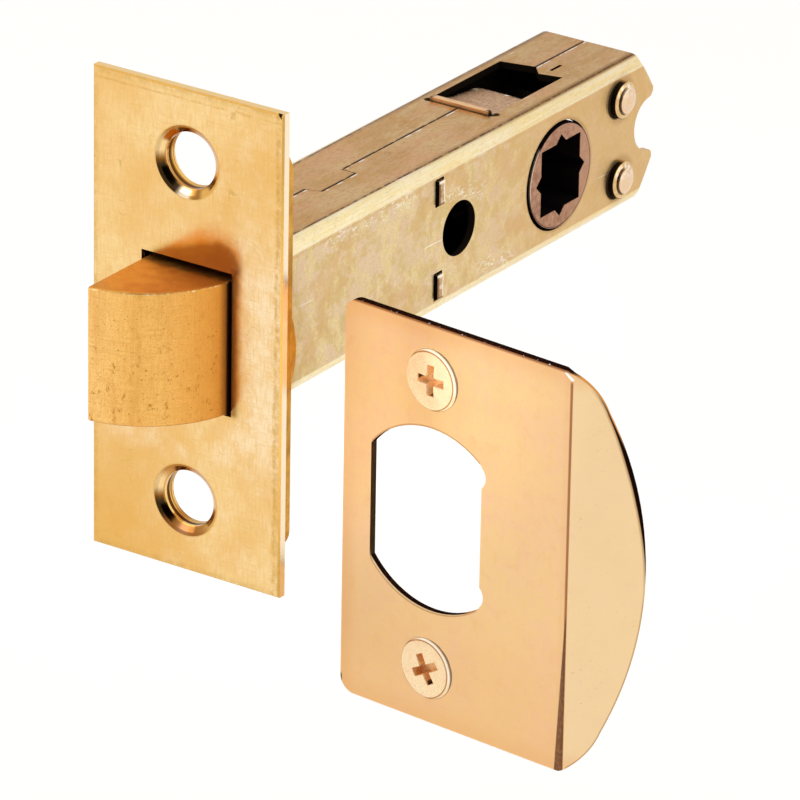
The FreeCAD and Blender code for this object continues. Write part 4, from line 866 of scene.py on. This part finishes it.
def screwCoat(look):
    coat = Coat("brassPlatedScrew", look, place=strikeLook["place"], turn=strikeLook["turn"])
    level = coat.fromLevel(look["level"])
    across = coat.minus(coat.x, look["across"])
    coat.lay(coat.marks(1.2, 0.4, 0.7, 0.6, detail=4), "tone", "deep")
    shifted = coat.distance(across, level, look["shadeCentre"])
    # painted shade round the rim, with a painted highlight inside it at the upper right
    coat.paint("amber", coat.between(shifted, *look["amberRing"], 0.05))
    coat.paint("dark", coat.ease(shifted, *look["shadeRing"], 0, 0.8))
    upper = coat.ease(coat.plus(across, level), 1.5, 3.0)
    coat.paint("white", coat.between(shifted, *look["whiteRing"], 0.05), upper)
    recess = coat.blend(coat.marks(0.45, 0.42, 0.66, detail=4, rough=0.7), "recess", "deep")
    recess = coat.blend(coat.marks(0.6, 0.6, 0.68, 0.8, detail=4), recess, "amber")
    # painted shade at two ends of the cross recess
    for spot in look["spots"]:
        recess = coat.blend(coat.fall(coat.distance(across, level, spot), 0.3, 0.6), recess, "dark")
    sunk = coat.ease(coat.y, -0.22, -0.05)
    coat.paint(recess, sunk, coat.fall(coat.length(across, level), *look["recessReach"]))
    fine = coat.noise(0.3, detail=4, rough=0.65)
    coat.bump(fine, 0.08, 0.03)
    # the thread's ridge climbs with the angle round the screw
    angle = coat.over(coat.calc("ARCTAN2", level, across), 2 * math.pi)
    climb = coat.plus(coat.over(coat.y, look["pitch"]), angle)
    ridge = coat.size(coat.minus(coat.calc("FRACT", climb), 0.5))
    threaded = coat.ease(coat.y, *look["threadStart"])
    coat.bump(coat.product(coat.ease(ridge, 0.05, 0.45), threaded), 1.0, 0.35)
    # painted shade in the thread's grooves
    coat.paint("amber", coat.ease(ridge, 0.2, 0.05), threaded, 0.6)
    return coat.done(coat.spread(fine, 0.24, 0.34), 0.28)


dress(screwCoat(screwLook), "strike_screws")
print("strike and screws dressed")


def addObject(name, data):
    item = bpy.data.objects.new(name, data)
    bpy.context.scene.collection.objects.link(item)
    return item


# springs: coils with closed ends, each attached to the body that carries it
springs = {
    "boltSpring": {
        "node": "bolt_spring", "body": "slide", "joint": "bolt_slide", "slot": "bolt_spring_wire",
        "coil": 2.9, "wire": 0.55, "turns": 5.4, "start": 6.6, "end": 21.9, "anchor": 21.9, "keep": 0.307,
    },
    "retractorSpring": {
        "node": "retractor_spring", "body": "latch_body", "joint": "retractor_slide",
        "slot": "retractor_spring_wire",
        "coil": 4.3, "wire": 0.85, "turns": 3.1, "start": 22.9, "end": 38.0, "anchor": 38.0, "keep": 0.311,
    },
}
coils = {
    "side": 0.1, "level": -0.2, "stepsPerTurn": 40, "wireSides": 14, "closedPitch": 1.02, "weld": 0.0005,
}
springLook = {"tone": (0.5, 0.49, 0.47), "mark": (0.3, 0.294, 0.282)}


def springCoat(name):
    coat = Coat(name, springLook)
    drawn = coat.noise(0.4, detail=4, rough=0.6)
    coat.lay(coat.ease(drawn, 0.35, 0.7), "tone", "mark")
    coat.bump(drawn, 0.15, 0.02)
    return coat.done(coat.spread(drawn, 0.24, 0.38))


def faceRank(corners, count):
    return min(corners) * count + max(corners)


def makeSpring(name, look):
    bm = bmesh.new()
    wire = look["wire"] / 2
    centre = Vector((coils["side"], 0, coils["level"]))
    section = bmesh.ops.create_circle(bm, cap_ends=False, radius=wire, segments=coils["wireSides"])["verts"]
    bmesh.ops.translate(bm, vec=(centre.x + look["coil"], look["start"] + wire, centre.z), verts=section)
    first = list(bm.edges)
    bmesh.ops.holes_fill(bm, edges=first)
    # a closed turn, the open coils, a closed turn; each goes on from the last section
    closed = look["wire"] * coils["closedPitch"]
    openRise = look["end"] - look["start"] - look["wire"] - 2 * closed
    geometry = section + first
    for turns, rise in ((1, closed), (look["turns"], openRise), (1, closed)):
        steps = round(coils["stepsPerTurn"] * turns)
        spun = bmesh.ops.spin(bm, geom=geometry, cent=centre, axis=(0, 1, 0), dvec=(0, rise / steps, 0),
                              angle=2 * math.pi * turns, steps=steps, use_merge=False)
        geometry = spun["geom_last"]
    bmesh.ops.holes_fill(bm, edges=[item for item in geometry if isinstance(item, bmesh.types.BMEdge)])
    bmesh.ops.remove_doubles(bm, verts=bm.verts, dist=coils["weld"])
    bmesh.ops.recalc_face_normals(bm, faces=bm.faces)
    bmesh.ops.scale(bm, vec=(mm, mm, mm), verts=bm.verts)
    for face in bm.faces:
        face.smooth = len(face.verts) == 4
    # spin leaves the faces in no fixed order; this one is the same in each run
    bm.verts.index_update()
    bm.faces.sort(key=lambda face: faceRank([vert.index for vert in face.verts], len(bm.verts)))
    mesh = bpy.data.meshes.new(name)
    bm.to_mesh(mesh)
    bm.free()
    piece = addObject(name, mesh)
    mesh.materials.append(springCoat(name + "Wire"))
    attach(piece, look["body"])
    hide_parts(look["node"])
    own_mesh(piece)


for springName, springValues in springs.items():
    makeSpring(springName, springValues)
print("springs wound")

# floor, sky and camera
studio = {
    "floorLevel": -0.1, "floorHalf": 3.0, "floorTone": (0.92, 0.92, 0.92), "floorRough": 0.9,
    "floorGloss": 0.1, "skyStrength": 1.0, "sky": (1.0, 0.985, 0.96),
    "skyBehind": (0.86, 0.84, 0.81), "behind": (-0.5, 0.8, 0.35), "behindReach": (0.55, 0.95),
    "room": (0.015, 0.011, 0.008), "roomRise": 0.52, "roomReach": (0.87, 0.94),
}
view = {
    "azimuth": 33.819, "elevation": 23.789, "roll": 1.034, "sideways": 0.023378, "upwards": -0.00732,
    "distance": 0.818028, "lens": 336.585, "sensor": 36.0, "nearest": 0.01, "farthest": 20,
}


def makeFloor():
    bm = bmesh.new()
    bmesh.ops.create_grid(bm, x_segments=4, y_segments=4, size=studio["floorHalf"])
    bmesh.ops.translate(bm, vec=(0, 0, studio["floorLevel"]), verts=bm.verts)
    mesh = bpy.data.meshes.new("floor")
    bm.to_mesh(mesh)
    bm.free()
    floor = addObject("floor", mesh)
    paper = bpy.data.materials.new("palePaper")
    paper.use_nodes = True
    shader = paper.node_tree.nodes["Principled BSDF"]
    shader.inputs["Base Color"].default_value = (*studio["floorTone"], 1.0)
    shader.inputs["Roughness"].default_value = studio["floorRough"]
    shader.inputs["Specular IOR Level"].default_value = studio["floorGloss"]
    mesh.materials.append(paper)


def makeCamera():
    data = bpy.data.cameras.new("camera")
    data.sensor_width = view["sensor"]
    data.lens = view["lens"]
    data.clip_start = view["nearest"]
    data.clip_end = view["farthest"]
    camera = addObject("camera", data)
    turn = (Matrix.Rotation(math.radians(view["azimuth"]), 4, "Z")
            @ Matrix.Rotation(math.radians(90 - view["elevation"]), 4, "X")
            @ Matrix.Rotation(math.radians(view["roll"]), 4, "Z"))
    camera.matrix_world = turn @ Matrix.Translation((view["sideways"], view["upwards"], view["distance"]))
    bpy.context.scene.camera = camera


def makeSky():
    # white all round, a little darker behind, with the dark of the room round the camera
    world = bpy.data.worlds.new("studio")
    bpy.context.scene.world = world
    world.use_nodes = True
    sky = Patterns(world.node_tree, studio)
    ray = sky.add("ShaderNodeTexCoord").outputs["Generated"]
    behind = sky.along(ray, Vector(studio["behind"]).normalized())
    tone = sky.blend(sky.ease(behind, *studio["behindReach"]), "sky", "skyBehind")
    azimuth = math.radians(view["azimuth"])
    room = sky.along(ray, Vector((math.sin(azimuth), -math.cos(azimuth), studio["roomRise"])).normalized())
    background = world.node_tree.nodes["Background"]
    sky.feed(background.inputs["Color"], sky.blend(sky.ease(room, *studio["roomReach"]), tone, "room"))
    background.inputs["Strength"].default_value = studio["skyStrength"]


makeFloor()
makeCamera()
makeSky()

# three soft lamps, and a narrow one by the camera, as a card would reflect: it fills the shade of the
# faceplate on the strike and doesn't show in polished surfaces
lamps = {
    "keyLight": {"place": (-0.55, -0.65, 0.75), "size": 0.7, "power": 2.2},
    "topLight": {"place": (0.1, 0.1, 1.0), "size": 1.0, "power": 2.0},
    "sideLight": {"place": (0.9, 0.3, 0.25), "size": 0.6, "power": 0.8},
}
lampAim = (0.01, 0.03, 0)
reflector = {
    "place": (0.5, -0.75, 0.38), "aim": (0.0145, 0.0137, -0.0065), "angle": 3.0, "softness": 1.0,
    "power": 26, "size": 0.004,
}


def hangLight(data, place, aim):
    light = addObject(data.name, data)
    turn = (Vector(aim) - Vector(place)).to_track_quat("-Z", "Y").to_matrix().to_4x4()
    light.matrix_world = Matrix.Translation(Vector(place)) @ turn
    return light


def makeLamp(name, lamp):
    data = bpy.data.lights.new(name, "AREA")
    data.size = lamp["size"]
    data.energy = lamp["power"]
    hangLight(data, lamp["place"], lampAim)


def makeReflector():
    data = bpy.data.lights.new("reflectorCard", "SPOT")
    data.energy = reflector["power"]
    data.spot_size = math.radians(reflector["angle"])
    data.spot_blend = reflector["softness"]
    data.shadow_soft_size = reflector["size"]
    hangLight(data, reflector["place"], reflector["aim"]).visible_glossy = False


for lampName, lampValues in lamps.items():
    makeLamp(lampName, lampValues)
makeReflector()

bpy.context.scene.view_settings.view_transform = "Standard"
print("studio ready")
